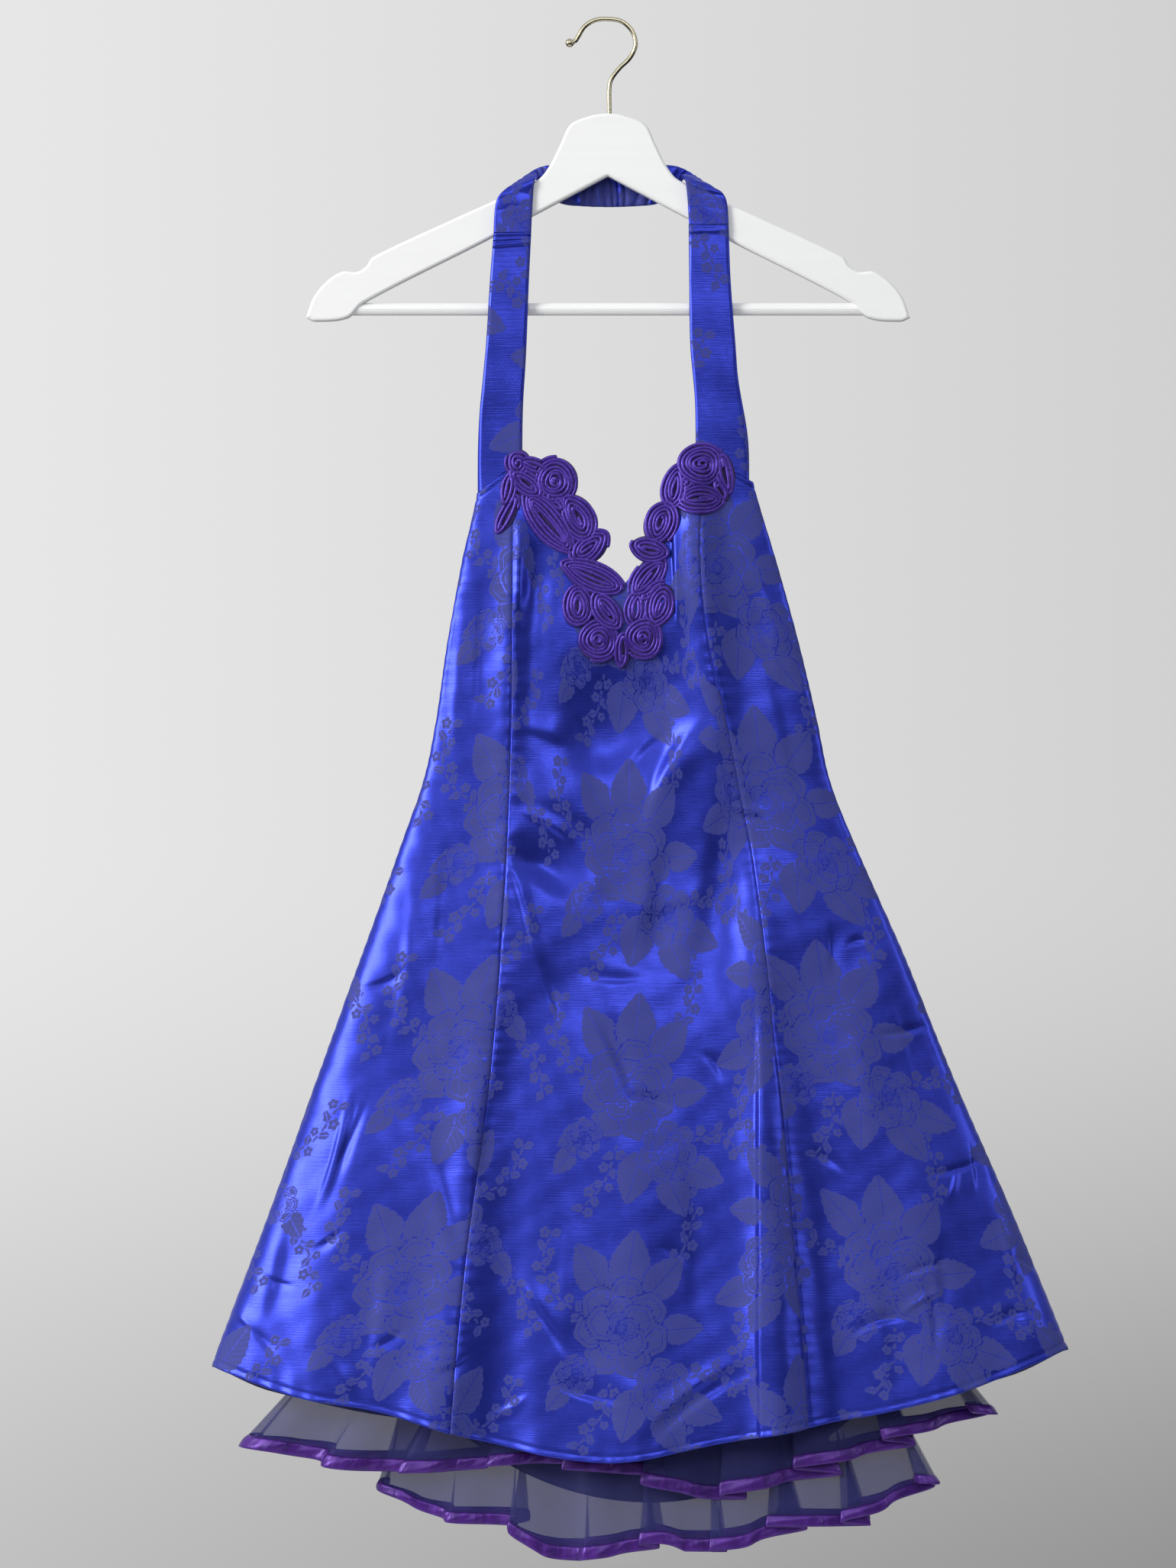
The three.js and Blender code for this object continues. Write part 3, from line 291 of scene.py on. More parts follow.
def along(table, column, at, key=0):
    """Smooth value of a column where the key column is at: cubic Hermite pieces whose slope at each row
    comes from the rows beside it, carried on straight beyond the ends."""
    rows = table[np.argsort(table[:, key])]
    x, y = rows[:, key], rows[:, column]
    before = np.maximum(np.arange(len(x)) - 1, 0)
    after = np.minimum(np.arange(len(x)) + 1, len(x) - 1)
    slope = (y[after] - y[before]) / (x[after] - x[before])
    i = np.clip(np.searchsorted(x, at) - 1, 0, len(x) - 2)
    span = x[i + 1] - x[i]
    t = (at - x[i]) / span
    c = np.clip(t, 0, 1)
    inside = ((2 * c**3 - 3 * c**2 + 1) * y[i] + (c**3 - 2 * c**2 + c) * span * slope[i]
              + (3 * c**2 - 2 * c**3) * y[i + 1] + (c**3 - c**2) * span * slope[i + 1])
    return inside + span * (np.minimum(t, 0) * slope[i] + np.maximum(t - 1, 0) * slope[i + 1])


def unit(ways):
    """The ways, each made one long."""
    return ways / np.linalg.norm(ways, axis=-1, keepdims=True)


def run_along(places):
    """Distance along a line of places from its first one."""
    return np.concatenate([[0], np.cumsum(np.linalg.norm(np.diff(places, axis=0), axis=-1))])


def smooth(t):
    """3c^2 - 2c^3, with c the part of t between 0 and 1."""
    c = np.clip(t, 0, 1)
    return c * c * (3 - 2 * c)


def bell(offset, half=1.0):
    """exp(-(offset / half)^2): 1 on a line and dying away on both sides of it."""
    return np.exp(-((offset / half) ** 2))


def fold_height(folds, x, z):
    """Sum of the folds: each is a bell exp(-(offset / half width)^2) times its height, both changing
    evenly from its start to its end, and it fades in and out over FOLD_FADE."""
    total = np.zeros(np.broadcast(x, z).shape)
    for x0, z0, w0, h0, x1, z1, w1, h1 in folds:
        c = np.clip((z - z0) / (z1 - z0), 0, 1.2)
        offset = (x - x0 - (x1 - x0) * c) / (w0 + (w1 - w0) * c)
        rise = smooth((z0 - z) / FOLD_FADE + 0.5)
        end = 1 - smooth((z1 - z) / FOLD_FADE) if z1 > OPEN_END else 1
        total += (h0 + (h1 - h0) * np.minimum(c, 1)) * bell(offset) * rise * end
    return total


def crease_height(creases, x, z):
    """Sum of the creases: each is a bell across its bowed line, gentler on one side, times its height.
    It swells from nothing to its middle and dies away again, a fifth of its length beyond both ends."""
    total = np.zeros(np.broadcast(x, z).shape)
    for x0, z0, x1, z1, width, height, bow in creases:
        length = np.hypot(x1 - x0, z1 - z0)
        way_x, way_z = (x1 - x0) / length, (z1 - z0) / length
        c = ((x - x0) * way_x + (z - z0) * way_z) / length
        offset = ((z - z0) * way_x - (x - x0) * way_z - bow * 4 * c * (1 - c)) / width
        share = (c + 0.2) / 1.4
        across = bell(offset, 1 + 0.45 * np.tanh(offset))
        total += height * across * smooth(2.1 * share) * smooth(2.1 * (1 - share))
    return total


def lap_height(laps, x, z):
    """Sum of the lapped folds: each stands up at once on its line and falls away to its right."""
    total = np.zeros(np.broadcast(x, z).shape)
    for x0, z0, x1, z1, height, run in laps:
        c = (z - z0) / (z1 - z0)
        offset = x - x0 - (x1 - x0) * c
        step = 0.5 + 0.5 * np.tanh(offset / (1.3 * MM))
        ends = smooth(c * 3) * (smooth((1 - c) * 4) if z1 > OPEN_END else 1)
        total += height * step * np.exp(-np.maximum(offset, 0) / run) * ends
    return total


def shell_points(side, turn, z):
    """The shell's outer face: x goes from the left edge to the right one by the cosine of turn, and y
    from the side edges' depth to the middle's by the power 0.8 of its sine, plus the folds."""
    left, right = along(SHELL, 1, z), along(SHELL, 2, z)
    x = (left + right) / 2 - (right - left) / 2 * np.cos(turn)
    middle = -4 * MM + 0.006 * (z - SHELL[0, 0])
    across = np.maximum(np.sin(turn), 0) ** RING_POWER
    front = side == "front"
    deep = along(SHELL, 3 if front else 4, z)
    out = fold_height(FRONT_FOLDS if front else BACK_FOLDS, x, z) * np.minimum(1, across * 1.5)
    y = middle + (deep - middle) * across + (-out if front else out)
    return np.stack([x, y, np.broadcast_to(z, x.shape)], -1)


def turn_at(x, z):
    """The turn at which the shell has a given x."""
    left, right = along(SHELL, 1, z), along(SHELL, 2, z)
    return np.arccos(np.clip(((left + right) / 2 - x) / ((right - left) / 2), -1, 1))


def shell_normals(side, turn, z):
    """Outward unit normals: the cross product of small steps in turn and in level, or straight out at
    the side edges."""
    step_turn, step_z = 1e-3, 0.1 * MM
    du = shell_points(side, turn + step_turn, z) - shell_points(side, turn - step_turn, z)
    dv = shell_points(side, turn, z + step_z) - shell_points(side, turn, z - step_z)
    normal = unit(np.cross(du, dv) * (1 if side == "front" else -1))
    normal[turn < 0.04] = (-1, 0, 0)
    normal[turn > np.pi - 0.04] = (1, 0, 0)
    return normal


def edge_turn(edge, z):
    """The turn of a panel's edge at a level: that of the left or right princess seam, or a share of pi."""
    if edge in PRINCESS_COLUMN:
        return turn_at(along(PRINCESS, PRINCESS_COLUMN[edge], z), z)
    return edge * np.pi + 0 * z


def level_on_edge(side, sides, share, level_of, start):
    """The level where each column meets an upper or lower edge, by going 0.6 of the way there 24 times."""
    z = np.full(share.shape, float(start))
    for _ in range(24):
        first, last = (edge_turn(edge, z) for edge in sides)
        z += (level_of(shell_points(side, first + (last - first) * share, z)[..., 0]) - z) * 0.6
    return z


def row_lengths(points):
    """Distance along each row of a grid from its first point."""
    steps = np.linalg.norm(np.diff(points, axis=1), axis=-1)
    return np.concatenate([np.zeros((len(points), 1)), np.cumsum(steps, axis=1)], axis=1)


def grid_quads(rows, columns, first=0, ring=False):
    """Corner numbers of the quads of a grid of points; in a ring the last column joins the first."""
    across = columns if ring else columns - 1
    i, j = np.meshgrid(np.arange(across), np.arange(rows - 1))
    k = (i + 1) % columns
    return first + np.stack([j * columns + i, j * columns + k, (j + 1) * columns + k,
                             (j + 1) * columns + i], -1).reshape(-1, 4)


def rim_faces(fine, coarse, step):
    """Triangles that join a loop of fine points to a loop with one point for every step of them."""
    j = np.arange(len(fine))
    owner = coarse[(j + step // 2) // step % len(coarse)]
    fans = np.stack([np.roll(fine, -1), fine, owner], -1)
    middle = fine[(np.arange(len(coarse)) * step + step // 2) % len(fine)]
    caps = np.stack([coarse, np.roll(coarse, -1), middle], -1)
    return np.concatenate([fans, caps])


def edge_loop(rows, columns, first):
    """Numbers of a grid's outer points in order: along the top, down, back along the foot and up."""
    at = first + np.arange(rows * columns).reshape(rows, columns)
    return np.concatenate([at[0, :-1], at[:-1, -1], at[-1, :0:-1], at[:0:-1, 0]])


def facing_out(points, faces):
    """The faces of a closed body, in arrays with three or four corners to a face, all turned over if the
    volume that they enclose comes out negative."""
    volume = 0
    for f in faces:
        for a, b, c in [(0, 1, 2)] + [(0, 2, 3)] * (f.shape[1] == 4):
            volume += (points[f[:, a]] * np.cross(points[f[:, b]], points[f[:, c]])).sum()
    return faces if volume > 0 else [f[:, ::-1] for f in faces]


def new_piece(name, points, faces, finishes, face_finish=None, cloth=None, weave=None, flat=0):
    """A smooth mesh object that faces out, with the cloth places as its UV map and the weave fields as an
    attribute. The last flat faces are shaded flat, so that those beside them keep their own shading."""
    mesh = bpy.data.meshes.new(name)
    sizes = np.concatenate([np.full(len(f), f.shape[1]) for f in faces])
    corners = np.concatenate([f.ravel() for f in facing_out(points, faces)])
    starts = np.concatenate([[0], np.cumsum(sizes)[:-1]])
    mesh.vertices.add(len(points))
    mesh.vertices.foreach_set("co", points.ravel())
    mesh.loops.add(len(corners))
    mesh.loops.foreach_set("vertex_index", corners)
    mesh.polygons.add(len(sizes))
    mesh.polygons.foreach_set("loop_start", starts)
    mesh.polygons.foreach_set("use_smooth", np.arange(len(sizes)) < len(sizes) - flat)
    if face_finish is not None:
        mesh.polygons.foreach_set("material_index", face_finish.astype(np.int32))
    if cloth is not None:
        mesh.uv_layers.new(name="cloth").data.foreach_set("uv", cloth[corners].ravel())
    if weave is not None:
        mesh.attributes.new("weave", "FLOAT_VECTOR", "POINT").data.foreach_set("vector", weave.ravel())
    mesh.update(calc_edges=True)
    mesh.validate()
    for finish in finishes:
        mesh.materials.append(finish)
    piece = bpy.data.objects.new(name, mesh)
    scene.collection.objects.link(piece)
    return piece


def closed_cloth(name, outer, inner, step, finishes, cloth, weave=None, ring=False):
    """A thin closed wall: a fine outer grid, an inner one with a point for every step of the outer ones,
    and a rim that joins them. The inner face takes the last finish."""
    rows, columns = outer.shape[:2]
    low_rows, low_columns = inner.shape[:2]
    first = rows * columns
    quads = grid_quads(rows, columns, 0, ring)
    back = grid_quads(low_rows, low_columns, first, ring)[:, ::-1]
    if ring:
        fine, coarse = np.arange(columns), first + np.arange(low_columns)
        foot = np.roll(fine[::-1], 1) + (rows - 1) * columns
        low_foot = np.roll(coarse[::-1], 1) + (low_rows - 1) * low_columns
        rims = [rim_faces(fine, coarse, step), rim_faces(foot, low_foot, step)]
    else:
        rims = [rim_faces(edge_loop(rows, columns, 0), edge_loop(low_rows, low_columns, first), step)]
    rim_count = sum(map(len, rims))
    face_finish = np.repeat([0, len(finishes) - 1, 0], [len(quads), len(back), rim_count])
    cloth = np.concatenate([cloth.reshape(-1, 2), cloth[::step, ::step].reshape(-1, 2)])
    if weave is not None:
        weave = np.concatenate([weave.reshape(-1, 3), np.full((low_rows * low_columns, 3), PLAIN_INSIDE)])
    points = np.concatenate([outer.reshape(-1, 3), inner.reshape(-1, 3)])
    return new_piece(name, points, [quads, back, *rims], finishes, face_finish, cloth, weave, rim_count)


# The woven pattern, in millimetres of cloth: roses with layered petals, pointed leaves and sprays of
# small flowers, in a repeat. Each motif gives how far inside it a place is, and its fine lines.
TILE = np.array([280.0, 172.0])
# how far the satin outline of a motif reaches, and how far inside it counts as deep
OUTLINE = 1.1
DEEPEST = 1.6
# distance from a motif where none is near, and on the inner face of a wall
FAR_AWAY = -9.0
PLAIN_INSIDE = -5.0
# centre across and down, radius, lean of the first petal
ROSES = [(0, 0, 33, 0.2), (31, 44, 21, 0.9), (-33, 35, 13, 0.4),
         (140, 86, 29, 1.0), (112, 126, 22, 0.3), (172, 112, 14, 0.8)]
# foot across and down, length, half width, way it points in degrees (-90 is up the cloth)
LEAVES = [
    (-12, -24, 44, 14, -122), (3, -26, 46, 15, -84), (18, -22, 40, 13, -48), (28, 2, 34, 11, -4),
    (28, 58, 38, 13, 62), (42, 54, 36, 12, 20), (10, 44, 40, 13, 104), (-22, 24, 36, 11, 152),
    (-40, 42, 24, 8, 130), (152, 64, 42, 13, -58), (138, 62, 44, 14, -95), (122, 68, 38, 12, -135),
    (112, 88, 32, 10, 184), (116, 142, 38, 12, 118), (103, 140, 36, 11, 158), (132, 128, 40, 12, 78),
    (162, 106, 34, 10, 32), (180, 118, 24, 8, 50)]
# sprays: places that a stem passes, across and down
SPRAYS = [
    np.array([(22, -30), (42, -52), (52, -78), (46, -104)]),
    np.array([(-26, -8), (-50, -24), (-60, -48), (-54, -70)]),
    np.array([(-8, 40), (-16, 66), (-32, 86)]),
    np.array([(52, 36), (72, 30), (88, 44)]),
    np.array([(118, 58), (98, 36), (88, 12), (96, -14)]),
    np.array([(166, 78), (188, 64), (200, 40)]),
    np.array([(150, 124), (158, 150), (172, 172)]),
    np.array([(186, 130), (204, 146), (212, 170)])]
BLOSSOM_STEP = 11.5


def from_place(s, t, x, y, lean=0.0):
    """Offsets from the nearest repeat of a place in the tile, turned by a lean."""
    across = s - x - np.round((s - x) / TILE[0]) * TILE[0]
    down = t - y - np.round((t - y) / TILE[1]) * TILE[1]
    return across * np.cos(lean) + down * np.sin(lean), down * np.cos(lean) - across * np.sin(lean)


def weave_in(weave, inside, ring, ray):
    """Lays a motif over those woven so far: its distance takes over in it and just round it, which
    leaves a satin outline, and so do its two kinds of line."""
    over = inside > -OUTLINE
    inside = np.minimum(inside, DEEPEST)
    weave[..., 0] = np.where(over, inside, np.maximum(weave[..., 0], inside))
    weave[..., 1] = np.where(over, ring, weave[..., 1])
    weave[..., 2] = np.where(over, ray, weave[..., 2])


def weave_leaf(weave, s, t, x, y, length, half, way):
    """A pointed leaf: half width times sin(pi c^0.75)^0.85 at the share c of its length, with a toothed
    edge, a midrib and slanting veins."""
    a, b = from_place(s, t, x, y, np.radians(way))
    c = np.clip(a / length, 1e-6, 1)
    teeth = 1.1 * np.abs(np.sin(a * 0.55 + x)) - 0.5
    width = half * np.maximum(np.sin(np.pi * c**0.75), 0) ** 0.85 + teeth * smooth(5 * c)
    inside = (width - np.abs(b)) * 0.85 - np.maximum(-a, 0) - np.maximum(a - length, 0)
    weave_in(weave, inside, b, np.sin((a - 0.9 * np.abs(b)) * 0.62) / 0.62)


def weave_rose(weave, s, t, x, y, radius, lean):
    """A rose of three layers of rounded petals, the outer ones first. Each petal is a disc with a
    scalloped rim, a line inside the rim, and fine lines that fan out from the rose's middle."""
    u, v = from_place(s, t, x, y)
    for petals, away, size in ((7, 0.64, 0.43), (5, 0.35, 0.36), (3, 0.13, 0.22), (1, 0.0, 0.1)):
        for k in range(petals):
            angle = lean + 2 * np.pi * (k + 0.31 * petals) / petals
            middle = away * radius * (1 + 0.07 * np.sin(2.4 * k + petals))
            du, dv = u - middle * np.cos(angle), v - middle * np.sin(angle)
            r = np.hypot(du, dv)
            turn = np.arctan2(dv, du) - angle
            own = size * radius * (1 + 0.1 * np.sin(3.1 * k + petals))
            rim = own * (1 + 0.045 * np.cos(6 * turn + k) + 0.05 * np.cos(2 * turn))
            fan = np.sin(11 * np.arctan2(v, u)) * np.hypot(u, v) / 11
            weave_in(weave, rim - r, r - rim * 0.76, fan)


def weave_blossom(weave, s, t, x, y, radius, lean):
    """A small flower: its rim is the radius times 0.55 + 0.45 |cos 2.5 turn|, with a dot inside."""
    u, v = from_place(s, t, x, y, lean)
    r = np.hypot(u, v)
    rim = radius * (0.55 + 0.45 * np.abs(np.cos(2.5 * np.arctan2(v, u))) ** 0.7)
    weave_in(weave, rim - r, r - 0.24 * radius, np.full(r.shape, 9.0))


def weave_spray(weave, s, t, places):
    """A stem through the places, with small flowers and leaves by turns on its two sides."""
    lengths = run_along(places)
    table = np.column_stack([lengths, places])
    for at in np.arange(0, lengths[-1], 6.0):
        x0, y0, x1, y1 = (along(table, k, np.array(p)) for p in (at, at + 6.0) for k in (1, 2))
        a, b = from_place(s, t, x0, y0, np.arctan2(y1 - y0, x1 - x0))
        length = np.hypot(x1 - x0, y1 - y0)
        inside = 0.95 - np.hypot(b, a - np.clip(a, 0, length))
        weave[..., 0] = np.maximum(weave[..., 0], inside)
    for k, at in enumerate(np.arange(BLOSSOM_STEP / 2, lengths[-1] + 6, BLOSSOM_STEP)):
        x, y = along(table, 1, np.array(at)), along(table, 2, np.array(at))
        x1, y1 = along(table, 1, np.array(at + 1)), along(table, 2, np.array(at + 1))
        way = np.arctan2(y1 - y, x1 - x)
        side = 1 if k % 2 else -1
        off = way + side * 1.5
        weave_blossom(weave, s, t, x + 5 * np.cos(off), y + 5 * np.sin(off), 4.6 - 0.5 * (k % 3), k * 0.8)
        weave_leaf(weave, s, t, x, y, 9.5, 2.8, np.degrees(way - side * 0.9))


def weave_of(cloth, across, down):
    """The pattern's three fields at cloth places in metres, moved by across and down millimetres."""
    s, t = cloth[..., 0] / MM + across, cloth[..., 1] / MM + down
    weave = np.full(s.shape + (3,), FAR_AWAY)
    for spray in SPRAYS:
        weave_spray(weave, s, t, spray)
    for leaf in LEAVES:
        weave_leaf(weave, s, t, *leaf)
    for rose in ROSES:
        weave_rose(weave, s, t, *rose)
    return weave


# Satin with the woven pattern: the ground is glossy, with fine streaks along the weft and a mottled
# shine, and the motifs are flat and matte with a thin satin line between petals. The mottle's grain both
# raises the ground's relief and darkens its colour in the hollows of that relief: uneven tone and painted
# shade.
SATIN_BLUE = (0.034, 0.055, 0.56, 1)
SATIN_DEEP_SHADE = (0.02, 0.03, 0.34, 1)
WOVEN_BLUE = (0.03, 0.039, 0.25, 1)
satin, tree, shader = new_finish("satin_jacquard", Sheen_Weight=0.06, Sheen_Roughness=0.4,
                                 Specular_IOR_Level=0.5)
cloth_map = add_node(tree, "ShaderNodeUVMap", uv_map="cloth")
streaks = grain(tree, cloth_map, (40, 1100, 1), 3.0)
mottle = grain(tree, cloth_map, 110.0, 4.0, Roughness=0.62, Distortion=0.6)
fray = grain(tree, cloth_map, 900.0)
fields = add_node(tree, "ShaderNodeAttribute", attribute_name="weave").outputs["Vector"]
field = add_node(tree, "ShaderNodeSeparateXYZ", {0: fields}).outputs
frayed = reckon(tree, "MULTIPLY_ADD", fray, 1.3, field["X"])
inside = ranged(tree, frayed, 0.35, 1.0, 0.0, 1.0, ease="SMOOTHSTEP")
ring_line = ranged(tree, reckon(tree, "ABSOLUTE", field["Y"]), 0.15, 0.55, 0.22, 1.0)
ray_line = ranged(tree, reckon(tree, "ABSOLUTE", field["Z"]), 0.1, 0.5, 0.55, 1.0)
matte = reckon(tree, "MULTIPLY", inside, reckon(tree, "MULTIPLY", ring_line, ray_line))
# the mottle paints the ground darker where its relief is low: uneven tone and painted shade
ground = blend(tree, mottle, SATIN_DEEP_SHADE, SATIN_BLUE)
relief = reckon(tree, "MULTIPLY_ADD", mottle, 0.55, streaks)
raised = reckon(tree, "MULTIPLY_ADD", matte, 0.3, relief)
fill(tree, shader, {
    "Base Color": blend(tree, matte, ground, WOVEN_BLUE),
    "Roughness": ranged(tree, matte, 0.0, 1.0, 0.335, 0.7),
    "Metallic": ranged(tree, matte, 0.0, 1.0, 0.72, 0.05),
    "Normal": add_node(tree, "ShaderNodeBump", {"Height": raised, "Strength": 0.2, "Distance": 0.0006})})

# Lining cloth, which also faces the inside of the panels: a smooth dark blue with a fine plain weave.
navy = grained_finish("lining_cloth", "cloth", (900, 500, 1), (0.006, 0.009, 0.05, 1),
                      (0.014, 0.02, 0.11, 1), bump=(0.3, 0.0002), Roughness=0.5, Sheen_Weight=0.15,
                      Sheen_Roughness=0.4)

# name, side, its two edges, columns and rows, the cut's width, length and area, and the pattern's shift
PANELS = [
    ("front_centre", "front", ("left", "right"), 164, 540, (0.305, 0.735, 0.165), (7, 73)),
    ("front_side_left", "front", (0, "left"), 116, 500, (0.25, 0.72, 0.095), (-41, 101)),
    ("front_side_right", "front", ("right", 1), 128, 500, (0.27, 0.72, 0.105), (20, 112)),
    ("back_left", "back", (0, 0.5), 116, 260, (0.36, 0.55, 0.145), (23, 30)),
    ("back_right", "back", (0.5, 1), 116, 260, (0.37, 0.55, 0.15), (88, 190))]
# fine points for each point of a wall's inner face
INNER_STEP = 4
# how deep a seam or stitching pulls in, how far it lies from the hem and the top, and its half width
SEAM_DIP = 0.7 * MM
HEM_TURN = 4.5 * MM
TOP_TURN = 5 * MM
STITCHING = 0.9 * MM


def neckline(x):
    """The front's upper edge: the level on straight lines between the places of FRONT_TOP."""
    return np.interp(x, FRONT_TOP[:, 0], FRONT_TOP[:, 1])


def lowest_near(values):
    """The lowest value within an inner step of each inner point, both down and across."""
    reach = (2 * INNER_STEP + 1,) * 2
    windows = np.lib.stride_tricks.sliding_window_view(np.pad(values, INNER_STEP, mode="edge"), reach)
    return windows[::INNER_STEP, ::INNER_STEP].min((-1, -2))


def stands_for(piece, node):
    """The piece rides on the one body and replaces its CAD node, which it hides."""
    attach(piece, "root")
    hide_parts(node)


def satin_panel(name, side, edges, columns, rows, cut, shift):
    """One panel: a grid of turns and levels on the shell, moved out by its creases, a soft rolling of
    the cloth, the dip and puckers of its seams, and the turned hem and edges."""
    share = np.linspace(0, 1, columns + 1)
    front = side == "front"
    hem_table = FRONT_HEM if front else BACK_HEM
    top = np.full(columns + 1, UNDERARM)
    if front:
        top = level_on_edge(side, edges, share, neckline, FRONT_TOP[0, 1])
    low = level_on_edge(side, edges, share, lambda x: along(hem_table, 1, x), FRONT_HEM[0, 1])
    z = top + (low - top) * np.linspace(0, 1, rows + 1)[:, None]
    first, last = (edge_turn(edge, z) for edge in edges)
    turn = first + (last - first) * share
    base, normal = shell_points(side, turn, z), shell_normals(side, turn, z)
    x = base[..., 0]
    from_left = row_lengths(base)
    width = from_left[:, -1:]
    from_seam = np.minimum(from_left, width - from_left)
    above_hem = z - low
    cloth = np.stack([from_left - width / 2, -z], -1)
    sides = np.minimum(1, np.maximum(np.sin(turn), 0) ** RING_POWER * 3)
    out = crease_height(FRONT_CREASES if front else BACK_CREASES, x, z) * sides
    out += lap_height(FRONT_LAPS, x, z) * sides if front else 0
    a, b = x / MM, z / MM
    out += 0.9 * MM * np.sin(a / 15 + 1.3 * np.sin(b / 71) + 0.8 * np.sin(b / 31 + 1)) * sides
    out += 0.55 * MM * np.sin(b / 23 + 1.2 * np.sin(a / 33) + 0.6 * np.sin(a / 11)) * sides
    out += 0.17 * MM * np.sin(a / 4.7 - b / 17 + 1) * np.sin(b / 5.3 + a / 15 + np.sin(a / 21)) * sides
    pucker = np.sin(b / 1.7 + 2 * np.sin(b / 11)) * np.exp(-from_seam / (6 * MM))
    out += 0.22 * MM * pucker * smooth(from_seam / (3 * MM)) - SEAM_DIP * bell(from_seam, 1.4 * MM)
    hem_pull = np.sin(a / 3.1 + 2 * np.sin(a / 19)) * np.exp(-above_hem / (9 * MM))
    out += 0.5 * MM * hem_pull - SEAM_DIP * bell(above_hem - HEM_TURN, STITCHING)
    out -= 0.45 * MM * bell(top - z - TOP_TURN, STITCHING)
    outer = base + normal * out[..., None]
    for edge, near in ((0, 1), (-1, -2)):
        outer[:, edge] += unit(base[:, near] - base[:, edge]) * SEAM_GAP / 2
    every = np.s_[::INNER_STEP, ::INNER_STEP]
    inner = base[every] + normal[every] * (lowest_near(out) - SATIN)[..., None]
    piece = closed_cloth("satin_" + name, outer, inner, INNER_STEP, [satin, navy], cloth,
                         weave_of(cloth, *shift))
    stands_for(piece, name)


for panel in PANELS:
    satin_panel(*panel)

# Straps
# Two flat satin tubes with turned edges. Each is sewn to the top of the bodice and, with tucks, to the
# gathered band, and lies in front of the hanger's arm.
STRAP = 2 * MM
STRAP_COLUMNS = 40
STRAP_ROWS = 200
# level, outer edge, inner edge, depth of the face towards the hanger
STRAPS = {
    "strap_left": MM * np.array([
        (-157, -84.2, -56.5, -8), (-193, -87, -58.2, -8.6), (-238, -89.8, -59.9, -8.8),
        (-284, -93.8, -62, -8.4), (-330, -96, -63, -8)]),
    "strap_right": MM * np.array([
        (-151, 88.8, 59.4, -8), (-193, 90.4, 59.8, -8.6), (-238, 93.8, 60.5, -8.8),
        (-284, 97.4, 63.6, -8.4), (-325, 104, 64.5, -8)])}
STRAP_OVERLAP = 0.4 * MM
# each tuck: how far below the seam at the outer and at the inner edge, half width, height
TUCKS = {
    "strap_left": MM * np.array([(1.2, 1.0, 1.1, 1.1), (4.8, 4.2, 1.1, 1.3), (9.0, 6.6, 1.3, 1.5)]),
    "strap_right": MM * np.array([(1.0, 2.0, 1.0, 0.9), (3.6, 4.8, 1.3, 0.8)])}
STRAP_SHIFT = {"strap_left": (62, 10), "strap_right": (222, -20)}


def satin_strap(name):
    """A strap: rows down from its upper seam and columns from its outer edge, the last rows turning onto
    the bodice, with rolled edges, tucks below the seam and a soft ripple."""
    table = STRAPS[name]
    t = np.linspace(0, 1, STRAP_COLUMNS + 1)
    v = np.linspace(0, 1, STRAP_ROWS + 1)[:, None]
    foot_x = table[-1, 1] + (table[-1, 2] - table[-1, 1]) * t
    foot_z = neckline(foot_x) - STRAP_OVERLAP
    foot_y = shell_points("front", turn_at(foot_x, foot_z), foot_z)[..., 1] + SATIN
    head_z = table[0, 0] + STRAP_OVERLAP
    z = head_z + (foot_z - head_z) * v
    outer_x, inner_x = along(table, 1, z), along(table, 2, z)
    join = smooth((v - 0.55) / 0.45)
    x = outer_x + (inner_x - outer_x) * t
    x = x + (foot_x - x) * join
    y = along(table, 3, z) + (foot_y - along(table, 3, z)) * join
    wide = np.abs(inner_x - outer_x)
    from_edge = np.minimum(t, 1 - t) * wide
    below = table[0, 0] - z
    a, b = x / MM, z / MM
    out = -1.1 * MM * bell(from_edge, 1.2 * MM) * np.ones_like(z)
    out += 0.25 * MM * np.sin(b / 9 + a / 6) * np.sin(a / 7 - b / 23) * smooth(from_edge / (4 * MM))
    for outer, inner, half, height in TUCKS[name]:
        past = (below - outer - (inner - outer) * t) / half
        out += height * (bell(past) - 0.5 * bell(past + 1.6))
    outer_face = np.stack([x, y - STRAP - out, z + 0 * x], -1)
    inner_face = np.stack([x, y, z + 0 * x], -1)[::INNER_STEP, ::INNER_STEP]
    inner_face[..., 1] -= np.minimum(lowest_near(out), 0)
    cloth = np.stack([t * wide * np.sign(table[0, 2] - table[0, 1]), -z + 0 * x], -1)
    piece = closed_cloth("satin_" + name, outer_face, inner_face, INNER_STEP, [satin], cloth,
                         weave_of(cloth, *STRAP_SHIFT[name]))
    stands_for(piece, name)


for strap in STRAPS:
    satin_strap(strap)

# Neck band
# A satin band gathered on elastic, which joins the straps behind the neck and hangs over the board's
# shoulders behind the head of the hanger.
BAND_COLUMNS = 24
BAND_ROWS = 560
# outer edge x, y, z and inner edge x, y, z from the left strap to the middle of the back
BAND_HALF = MM * np.array([
    (-84.2, -9, -156.7, -56.5, -9, -156.7), (-83.5, -9, -142, -55.8, -9, -140),
    (-82, -9, -133, -55, -9, -127), (-79, -8.7, -128, -54, -9, -118),
    (-71, -4, -121.6, -52.6, -3.4, -114.2), (-63, 4, -115, -51, 5.8, -113),
    (-56, 9.4, -109.5, -48.5, 10, -119), (-48, 10, -106, -42, 10, -129),
    (-35, 10.5, -104.5, -33, 9.8, -134), (-18, 11, -104.3, -17, 10, -135.5),
    (0, 11.2, -104.3, 0, 10.2, -136)])
BAND_RIGHT = 1.055
BAND_LIFT = 6 * MM


